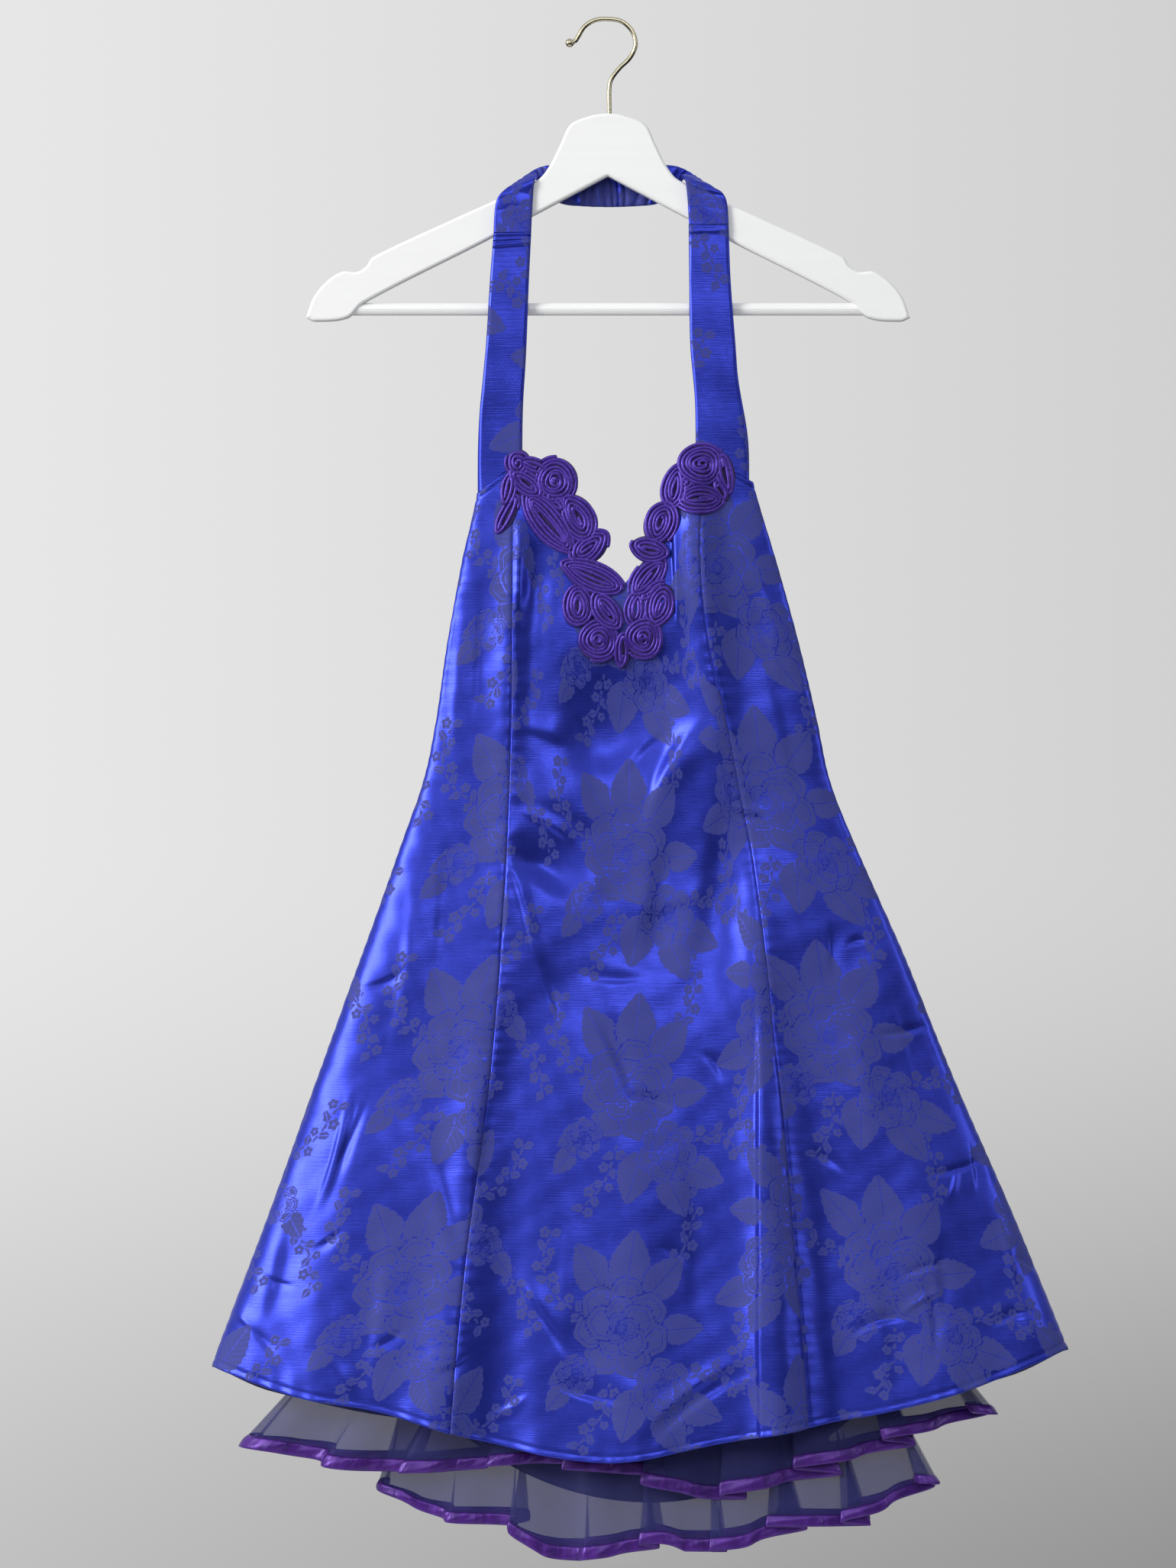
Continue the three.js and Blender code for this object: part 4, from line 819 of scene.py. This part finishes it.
def band_table():
    """The band's rows numbered in order: the left half, then its mirror image, 1.055 times as wide and
    lifted in front of the board."""
    right = BAND_HALF[-2::-1].copy()
    lift = (right[:, 1] < 7 * MM)[:, None] * BAND_LIFT * smooth((-118 * MM - right[:, [2, 5]]) / (38 * MM))
    right[:, [2, 5]] += lift
    right[:, [0, 3]] *= -BAND_RIGHT
    rows = np.concatenate([BAND_HALF, right])
    return np.column_stack([np.arange(len(rows)), rows])


def satin_band():
    """The band ruled from its outer to its inner edge, moved along its normal by the gathers: ridges of
    uneven width that are sharpest behind the neck and die out towards the straps."""
    table = band_table()
    at = np.linspace(0, table[-1, 0], BAND_ROWS + 1)[:, None]
    u = np.linspace(0, 1, BAND_COLUMNS + 1)
    edges = np.concatenate([along(table, k, at) for k in range(1, 7)], -1)
    middle = edges[:, None, :3] + (edges[:, None, 3:] - edges[:, None, :3]) * u[:, None]
    run = run_along(middle[:, BAND_COLUMNS // 2])
    normal = unit(np.cross(np.gradient(middle, axis=1), np.gradient(middle, axis=0)))
    c = np.abs(at / table[-1, 0] - 0.5) * 2
    s = run[:, None] / MM
    phase = s / 2.3 + 1.5 * np.sin(s / 9.3) + 0.8 * np.sin(s / 4.1 + 2) + 0.7 * np.sin(4 * u + s / 9)
    gather = (1.5 * np.abs(np.sin(phase)) ** 0.7 - 0.9) * MM * smooth(1.5 - 1.5 * c)
    from_edge = np.minimum(u, 1 - u) * np.linalg.norm(edges[:, None, 3:] - edges[:, None, :3], axis=-1)
    out = gather + 0.3 * MM * np.sin(s / 5 + 6 * u) * c - 0.6 * MM * bell(from_edge, 1.2 * MM)
    outer = middle + normal * (out + SATIN / 2)[..., None]
    every = np.s_[::INNER_STEP, ::INNER_STEP]
    inner = middle[every] + normal[every] * (lowest_near(out) - SATIN / 2)[..., None]
    cloth = np.stack([run[:, None] + 0 * u, u * 30 * MM + 0 * at], -1)
    weave = weave_of(cloth, 30, 20)
    piece = closed_cloth("satin_neck_band", outer, inner, INNER_STEP, [satin], cloth, weave)
    stands_for(piece, "neck_band")


satin_band()

# Corded applique
# Two runs of roses and leaves along the neckline, each coiled from one satin cord and stitched down on a
# low domed base of the same purple cloth. The base is coloured much darker than the cord, as painted shade
# in the gaps between the coils.
CORD = 1.45 * MM
CORD_FLAT = 0.8
CORD_PITCH = 2.5 * MM
CORD_SIDES = 8
CORD_STEP = 0.7 * MM
PAD_CLEAR = 0.7 * MM
PAD_EDGE = 1.5 * MM
PAD_SIDES = 40
# share of the pad's size, share of its height
PAD_RINGS = ((0.3, 0), (0.9, 0), (0.92, 0.4), (0.7, 1), (0.45, 1), (0.2, 1))
PAD_TOP = {"rose": 3.6 * MM, "leaf": 2.6 * MM}
LEAF_TAPER = 0.22
SPREAD = 1.1 * MM
LAYER = 0.5 * MM
# form, place across and level, half length, half width, tilt in degrees
APPLIQUE = {
    "applique_left": [
        ("leaf", -38.5, -356, 9.5, 5, -48), ("leaf", -54, -329, 12, 5.5, -24),
        ("rose", -66, -327, 9.5, 10.5, 0), ("leaf", -73.5, -346, 13.5, 6, 78),
        ("leaf", -74.5, -365, 17, 6, 62), ("leaf", -60, -342, 16, 9, -40),
        ("rose", -39, -340, 17.5, 18, 0), ("leaf", -43.5, -371, 29, 12, -52),
        ("leaf", -22, -367, 20, 13, -62), ("leaf", -14.5, -389, 18, 11.5, 38),
        ("leaf", -11, -411, 26, 11.5, -24), ("rose", -21.5, -432, 11.5, 15.5, 0),
        ("leaf", -0.5, -436, 16.5, 10, -56), ("rose", -7, -457, 15.5, 15.5, 0),
        ("leaf", 10.5, -465, 13.5, 6, 86)],
    "applique_right": [
        ("leaf", 33, -421, 11, 5, 40), ("leaf", 83, -347, 9, 5, -60), ("leaf", 58, -340, 8, 5, 60),
        ("rose", 26, -455.5, 14.5, 15, 0), ("leaf", 21, -434.5, 16, 9.5, 80),
        ("leaf", 38.5, -432, 17, 11, 72), ("leaf", 29.5, -411, 20, 10.5, 48),
        ("leaf", 31, -390.5, 15, 9.5, -16), ("leaf", 39, -371, 18, 12.5, 68),
        ("leaf", 49.5, -345, 18, 10.5, 78), ("rose", 68.5, -328, 17, 16, 0),
        ("leaf", 68, -353.5, 19, 11.5, 0), ("leaf", 86, -334, 17, 7, -80)]}


def pad_place(form, x, z, a, b, tilt, reach, angle, height):
    """Points over the satin: reach 1 is a pad's rim, an ellipse that a leaf narrows towards its ends, and
    height is measured out from the satin."""
    lean = np.radians(tilt)
    narrow = 1 - LEAF_TAPER * np.abs(np.cos(angle)) ** 3 if form == "leaf" else 1
    lengthwise = (a * MM + SPREAD) * reach[0] * np.cos(angle)
    across = (b * MM + SPREAD) * reach[1] * np.sin(angle) * narrow
    px = x * MM + lengthwise * np.cos(lean) - across * np.sin(lean)
    pz = z * MM + lengthwise * np.sin(lean) + across * np.cos(lean)
    turn = turn_at(px, pz)
    normal = shell_normals("front", turn, pz)
    return shell_points("front", turn, pz) + normal * (PAD_CLEAR + height)[..., None], normal


def coil(form, x, z, a, b, tilt, seed):
    """Middle line of a coiled cord: it goes round just inside the rim and comes in by one pitch a turn,
    a little unevenly, while it climbs the dome."""
    rim = CORD * 0.7
    turns = (min(a, b) * MM - rim) / CORD_PITCH - 0.2
    angle = np.linspace(0, 2 * np.pi * turns, int(turns * 2 * np.pi * (a + b) / 2 * MM / CORD_STEP * 0.62))
    inset = rim + CORD_PITCH * angle / (2 * np.pi) * (1 + 0.05 * np.sin(angle * 1.7 + seed))
    wobble = 1 + 0.035 * np.sin(3 * angle + seed) * smooth(angle / 3)
    tips_inset = inset * (1.15 if form == "leaf" else 1)
    reach = (1 - tips_inset / (a * MM)) * wobble, (1 - inset / (b * MM)) * wobble
    dome = 1 - np.clip(reach[1], 0, 1) ** 2
    height = PAD_EDGE + (PAD_TOP[form] - PAD_EDGE) * dome - CORD * 0.9
    height += 0.3 * MM * np.sin(2.2 * angle + seed) + LAYER * np.sin(2.1 * seed)
    return pad_place(form, x, z, a, b, tilt, reach, angle + seed, height)


def tube(line, normal, radius, sides, flatten=1.0, tip=0.6):
    """Points, quads and triangles of a closed tube round a line, whose radius may change along it: rings
    of points in the plane of the normal and of the line's sideways direction. A point at tip times the
    radius beyond each end closes it."""
    radius = np.broadcast_to(radius, len(line))[:, None]
    way = unit(np.gradient(line, axis=0))
    sideways = unit(np.cross(way, normal))
    up = np.cross(sideways, way)
    angle = np.arange(sides) * 2 * np.pi / sides
    ring = (line[:, None] + flatten * np.sin(angle)[:, None] * (radius * up)[:, None]
            + np.cos(angle)[:, None] * (radius * sideways)[:, None])
    tips = np.stack([line[0] - way[0] * radius[0] * tip, line[-1] + way[-1] * radius[-1] * tip])
    return capped(ring, tips)


def capped(rings, tips):
    """Points, quads and triangles of a body of rings, with a point that closes each end."""
    count, sides = rings.shape[:2]
    k = np.arange(sides)
    after = (k + 1) % sides
    start = np.stack([np.full(sides, count * sides), after, k], -1)
    last = (count - 1) * sides
    end = np.stack([np.full(sides, count * sides + 1), last + k, last + after], -1)
    points = np.concatenate([rings.reshape(-1, 3), tips])
    return points, grid_quads(count, sides, 0, True), np.concatenate([start, end])


def pad_base(form, x, z, a, b, tilt):
    """A pad's dome: rings from the middle of its flat underside out to its rim and in again to its top."""
    angle = np.linspace(0, 2 * np.pi, PAD_SIDES, endpoint=False)
    rings = []
    for share, rise in PAD_RINGS:
        high = rise * (PAD_EDGE + (PAD_TOP[form] - PAD_EDGE) * (1 - share**2) - 1.7 * CORD)
        reach = (share, share)
        rings.append(pad_place(form, x, z, a, b, tilt, reach, angle, np.full(PAD_SIDES, high))[0])
    return capped(np.stack(rings), np.stack([rings[0].mean(0), rings[-1].mean(0)]))


def joined(bodies):
    """Points and faces of several closed bodies as one, each facing out, and each face's body number."""
    points, faces, owner = [], [], []
    for number, (places, *kinds) in enumerate(bodies):
        first = sum(map(len, points))
        points.append(places)
        for f in facing_out(places, kinds):
            faces.append(f + first)
            owner.append(np.full(len(f), number))
    return np.concatenate(points), faces, np.concatenate(owner)


# Purple satin cord: a soft sheen and fine creases along the bias strip. Where the cords meet, the dark base
# shows between them: painted shade.
cord_finish = grained_finish("satin_cord", "Object", 420.0, (0.02, 0.009, 0.125, 1), (0.105, 0.04, 0.47, 1),
                             bump=(0.5, 0.0004), Roughness=0.34, Sheen_Weight=0.15, Sheen_Roughness=0.35,
                             Metallic=0.5)
# the pad base's dark purple is painted shade between the cords, not a colour of its own
cord_base_shade_finish = new_finish("satin_cord_base_painted_shade", Base_Color=(0.022, 0.008, 0.11, 1), Roughness=0.7)[0]

for name, elements in APPLIQUE.items():
    bodies = []
    for number, element in enumerate(elements):
        line, normal = coil(*element, seed=number * 1.3)
        bodies += [tube(line, normal, CORD, CORD_SIDES, CORD_FLAT), pad_base(*element)]
    points, faces, owner = joined(bodies)
    piece = new_piece("corded_" + name, points, faces, [cord_finish, cord_base_shade_finish], owner % 2)
    stands_for(piece, name)

# Lining
# A sewn tube of smooth navy cloth. It starts inside the bodice, falls away from the satin and ends in a
# turned hem a little below it.
LINING = 1.2 * MM
LINING_START = -545 * MM
LINING_GAP = 0.8 * MM
LINING_DROP = 130 * MM
LINING_HEM = -1090 * MM
LINING_HEM_RISE = 2.6
# level, centre, half width, depth of the front and of the back
LINING_RINGS = MM * np.array([
    (-545, 13.5, 136, -13, 8), (-700, 17, 152, -16, 10), (-880, 24, 166, -22, 11),
    (-1095, 30, 176, -26, 11.5)])


def ring_points(centre, half, front, back, turn, z):
    """A flattened ring: x by the cosine of turn, y by the power 0.8 of its sine, as on the shell."""
    deep = np.where(np.sin(turn) >= 0, front, back)
    middle = -4 * MM + 0.006 * (z - SHELL[0, 0])
    across = np.abs(np.sin(turn)) ** RING_POWER
    x = centre - half * np.cos(turn)
    return np.stack([x, middle + (deep - middle) * across, z + 0 * x], -1)


def lining_points(turn, z):
    """The lining's outer face: 0.8 mm inside the satin at its top, and on its own rings 130 mm below."""
    whole = np.mod(turn, 2 * np.pi) + 0 * z
    z = z + 0 * turn
    shell_turn = np.where(whole <= np.pi, whole, 2 * np.pi - whole)
    inside = []
    for side, creases in (("front", FRONT_CREASES), ("back", BACK_CREASES)):
        face = shell_points(side, shell_turn, z)
        depth = SATIN + LINING_GAP + 1.6 * MM - np.minimum(crease_height(creases, face[..., 0], z), 0)
        inside.append(face - shell_normals(side, shell_turn, z) * depth[..., None])
    under = np.where((whole <= np.pi)[..., None], *inside)
    own = ring_points(*(along(LINING_RINGS, k, z) for k in range(1, 5)), whole, z)
    return under + (own - under) * smooth((LINING_START - z) / LINING_DROP)[..., None]


def outward(points):
    """Outward unit normals of a ring-shaped grid, from the differences of its neighbours."""
    around = np.roll(points, -1, axis=1) - np.roll(points, 1, axis=1)
    return unit(np.cross(np.gradient(points, axis=0), around))


ring_turns = np.linspace(0, 2 * np.pi, 240, endpoint=False)
lining_low = LINING_HEM + LINING_HEM_RISE * (LINING_RINGS[-1, 2] * np.cos(ring_turns)) ** 2
lining_z = LINING_START + (lining_low - LINING_START) * np.linspace(0, 1, 61)[:, None]
lining_face = lining_points(ring_turns, lining_z)
lining_out = outward(lining_face)
lining_fall = smooth((LINING_START - 0.12 - lining_z) / 0.3)
lining_hem = bell(lining_z - lining_low - 9 * MM, 1.2 * MM)
lining_waves = 1.3 * np.sin(13 * ring_turns + 2 * np.sin(3 * ring_turns))
lining_soft = (lining_waves * lining_fall - 0.5 * lining_hem) * MM
lining_outer = lining_face + lining_out * lining_soft[..., None]
lining_inner = (lining_outer - lining_out * LINING)[::2, ::2]
lining_cloth = np.stack([ring_turns / (2 * np.pi) * 0.7 + 0 * lining_z, -lining_z], -1)
lining = closed_cloth("navy_lining", lining_outer, lining_inner, 2, [navy], lining_cloth, ring=True)
stands_for(lining, "lining")

# Net frills
# Two frills of stiff navy net sewn round the lining. Their fullness folds over at the waves, where the
# doubled net shows darker, and a purple satin strip is folded over each lower edge.
NET = 0.5 * MM
BINDING = 1.8 * MM
BINDING_HEIGHT = 9.5 * MM
NET_END = 9.3 * MM
FRILL_SEAM_GAP = 1.8 * MM
WAVE_GROWTH = 1.3
FRILLS = {
    "upper": {
        "seam": -905 * MM, "ring": MM * np.array((3, 264, -42, 30)), "waves": 18, "swell": 6 * MM,
        "lap": 19 * MM, "columns": 900,
        "hem": MM * np.array([
            (-275, -1046), (-190, -1065), (-119, -1066), (-54, -1060), (35, -1073), (77, -1087),
            (138, -1071), (191, -1053), (246, -1034), (278, -1020)])},
    "lower": {
        "seam": -985 * MM, "ring": MM * np.array((33, 195, -34, 18)), "waves": 16, "swell": 3.5 * MM,
        "lap": 16 * MM, "columns": 780,
        "hem": MM * np.array([
            (-165, -1078), (-130, -1101), (-66, -1110), (-46, -1129), (-11, -1131), (45, -1119),
            (57, -1125), (98, -1123), (129, -1108), (186, -1105), (228, -1076)])}}
NET_COVER = 0.33


def even_turns(ring, columns):
    """Turns that divide a ring into columns of even length."""
    fine = np.linspace(0, 2 * np.pi, 4001)
    place = ring_points(*ring, fine, 0.0)
    run = run_along(place)
    return np.interp(np.linspace(0, run[-1], columns, endpoint=False), run, fine), run[-1]


def across_level(points):
    """Outward and sideways unit directions in the level of each point of a ring."""
    way = np.roll(points, -1, axis=0) - np.roll(points, 1, axis=0)
    way[:, 2] = 0
    way = unit(way)
    return np.stack([way[:, 1], -way[:, 0], 0 * way[:, 0]], -1), way


def frill_points(frill, v):
    """A frill's middle face by rows of v, 0 at its seam and 1 at its hem. Waves push it out and in by
    their sine, and laps slide it back sideways once a wave, which doubles the net there."""
    turns, length = even_turns(frill["ring"], frill["columns"])
    top = lining_points(turns, np.full(turns.shape, frill["seam"]))
    hem = ring_points(*frill["ring"], turns, frill["seam"])
    hem[:, 2] = along(frill["hem"], 1, hem[:, 0])
    top = top + across_level(top)[0] * FRILL_SEAM_GAP
    away, sideways = across_level(hem)
    share = np.arange(len(turns)) / len(turns) * 2 * np.pi
    phase = frill["waves"] * share
    uneven = 0.85 - 0.35 * np.cos(share) + 0.4 * np.sin(3 * share + 1) * np.sin(5 * share + 2)
    growth = np.maximum(v, 0)[:, None, None] ** WAVE_GROWTH
    wave = away * (frill["swell"] * np.sin(phase))[:, None]
    lap = sideways * (-frill["lap"] * uneven * np.sin(phase) * (1 + np.cos(phase)) / 1.3)[:, None]
    return top + (hem - top) * v[:, None, None] + (wave + lap) * growth


# Stiff net: dark navy threads. Each face of its thin wall covers a third of what lies behind, so one
# layer lets a little under half of it show through.
net = grained_finish("stiff_net", "cloth", 500.0, (0.016, 0.017, 0.13, 1), (0.036, 0.038, 0.24, 1),
                     Roughness=0.65, Alpha=NET_COVER)

# Binding satin: a purple strip with twisting creases. Its colour goes from a deep purple in the hollows of
# that relief to a light one on its ridges: painted shade and painted highlight.
binding_satin = grained_finish("binding_satin", "cloth", (260, 60, 1), (0.014, 0.004, 0.075, 1),
                               (0.125, 0.024, 0.36, 1), lean=0.9, bump=(0.7, 0.0012), Roughness=0.36,
                               Metallic=0.35, Sheen_Weight=0.04)


def frill_piece(name, frill, v, depth, step, finish, pull=0.0):
    """A closed wall on a frill's face at rows of v, as thick as its depth and moved out by a pull."""
    face = frill_points(frill, v)
    out = outward(face)
    run = np.arange(frill["columns"]) / frill["columns"] * even_turns(frill["ring"], 4)[1]
    cloth = np.stack([run + 0 * face[..., 0], -face[..., 2]], -1)
    outer, inner = (face + out * (np.asarray(pull) + side * depth / 2)[..., None] for side in (1, -1))
    return closed_cloth(name, outer, inner[::step, ::step], step, [finish], cloth, ring=True)


STRIP_ROWS = 9
STRIP_EDGE = 0.2 * MM
STRIP_TWIST = 0.28 * MM
for name, frill in FRILLS.items():
    drop = abs(frill["seam"] - along(frill["hem"], 1, np.array(frill["ring"][0])))
    net_rows = np.linspace(0, 1 - NET_END / drop, 25)
    piece = frill_piece("net_frill_" + name, frill, net_rows, np.full((25, 1), NET), 4, net)
    stands_for(piece, "frill_" + name)
    belly = np.sin(np.linspace(0, np.pi, STRIP_ROWS))[:, None] ** 0.5
    s = np.arange(frill["columns"]) / frill["columns"] * even_turns(frill["ring"], 4)[1] / MM
    twist = s / 2.1 + 1.5 * np.sin(s / 9) + np.linspace(0, 5, STRIP_ROWS)[:, None]
    strip_rows = np.linspace(1 - BINDING_HEIGHT / drop, 1, STRIP_ROWS)
    strip = frill_piece("satin_binding_" + name, frill, strip_rows, BINDING * belly + STRIP_EDGE, 1,
                        binding_satin, STRIP_TWIST * np.sin(twist) * belly)
    stands_for(strip, "binding_" + name)

# Hanger
# A flat wooden hanger in white satin paint with a round bar between its arms, and a hook of pale brass
# wire with a ball on its tip.
white_paint = grained_finish("painted_wood", "Object", (12, 60, 160), (0.87, 0.87, 0.86, 1),
                             (0.92, 0.92, 0.91, 1), detail=3.0, bump=(0.15, 0.0005), Roughness=0.32,
                             Coat_Weight=0.25, Coat_Roughness=0.25)
brass = grained_finish("brass_wire", "Object", 90.0, (0.55, 0.5, 0.35, 1), (0.6, 0.55, 0.4, 1),
                       Roughness=0.24, Metallic=1.0)

WIRE_RADIUS = 1.7 * MM
BALL_RADIUS = 3.2 * MM
HOOK = MM * np.array([
    (1, -84), (1, -66), (1, -50), (2.5, -42.8), (8.2, -34.9), (16.1, -27), (20.3, -17.5), (18, -7.5),
    (10.5, -0.3), (0.5, 1.7), (-9.3, 0.9), (-17.2, -3.8), (-21.9, -11.1), (-24.3, -14.6), (-28.2, -15.9)])
FORWARD = np.array([(0.0, 1.0, 0.0)])
hook_table = np.column_stack([np.arange(len(HOOK)), HOOK])
hook_at = np.linspace(0, len(HOOK) - 1, 200)
hook_line = np.stack([along(hook_table, 1, hook_at), 0 * hook_at, along(hook_table, 2, hook_at)], -1)
pole = np.linspace(0.08, np.pi - 0.08, 24)
ball_line = np.stack([HOOK[-1, 0] - BALL_RADIUS * np.cos(pole), 0 * pole, HOOK[-1, 1] + 0 * pole], -1)
wire = tube(hook_line, FORWARD, WIRE_RADIUS, 16)
ball = tube(ball_line, FORWARD, BALL_RADIUS * np.sin(pole), 32, tip=0.05)
hook = new_piece("wire_hook", *joined([wire, ball])[:2], [brass])
stands_for(hook, "hanger_hook")

BOARD = 13 * MM
# right half of the board's outline, across and level: its upper edge to the tip, then its lower edge back
BOARD_TOP = MM * np.array([
    (0, -68.4), (6, -68.9), (12, -70), (27.5, -76.5), (35, -91), (43, -107), (52, -117.5), (112, -145.5),
    (173.5, -174.5), (178, -181), (185, -185.3), (195.5, -185), (207, -192), (217, -204), (222.5, -219)])
BOARD_FOOT = MM * np.array([
    (222.5, -219), (216, -221.5), (192, -219), (180, -208), (90, -162), (0, -114.5)])
BOARD_POINTS = 180
# how far the outline is drawn in, and how far that ring lies from the board's face
BOARD_EDGE = MM * np.array([(2.0, 0), (1.1, 0.25), (0.4, 0.8), (0, 1.9)])


def even_line(places, count):
    """Points at even steps along a smooth line through the places."""
    lengths = run_along(places)
    table = np.column_stack([lengths, places])
    at = np.linspace(0, lengths[-1], count)
    return np.stack([along(table, 1, at), along(table, 2, at)], -1)


# the outline goes from the middle of the top round the right tip to the middle of the foot, and back by
# its mirror image, with as many points on its upper edge as on its lower one
half = np.concatenate([even_line(BOARD_TOP, BOARD_POINTS), even_line(BOARD_FOOT, BOARD_POINTS)[1:]])
outline = np.concatenate([half, half[-2:0:-1] * (-1, 1)])
way = unit(np.roll(outline, -1, axis=0) - np.roll(outline, 1, axis=0))
inward = np.column_stack([way[:, 1], -way[:, 0]])
count = len(outline)
rings = []
for drawn_in, from_face in np.concatenate([BOARD_EDGE, BOARD_EDGE[::-1] * (1, -1) + (0, BOARD)]):
    ring = outline + inward * drawn_in
    rings.append(np.column_stack([ring[:, 0], np.full(count, from_face - BOARD / 2), ring[:, 1]]))
points = np.concatenate(rings)
# each face is a ladder of quads from the upper edge to the lower one
k = np.arange(BOARD_POINTS - 2)
last = len(half) - 1
rungs = np.stack([k, k + 1, last - 1 - k, last - k], -1)
tips = np.array([[BOARD_POINTS - 2, BOARD_POINTS - 1, BOARD_POINTS]])
rungs, tips = (np.concatenate([f, -f[:, ::-1] % count]) for f in (rungs, tips))
far = len(points) - count
sides = grid_quads(len(rings), count, 0, True)
faces = [sides, rungs[:, ::-1], rungs + far, tips[:, ::-1], tips + far]
board = new_piece("hanger_board", points, faces, [white_paint], flat=2 * (len(rungs) + len(tips)))
stands_for(board, "hanger_body")

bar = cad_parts["hanger_bar"]
bar.data.materials.clear()
bar.data.materials.append(white_paint)
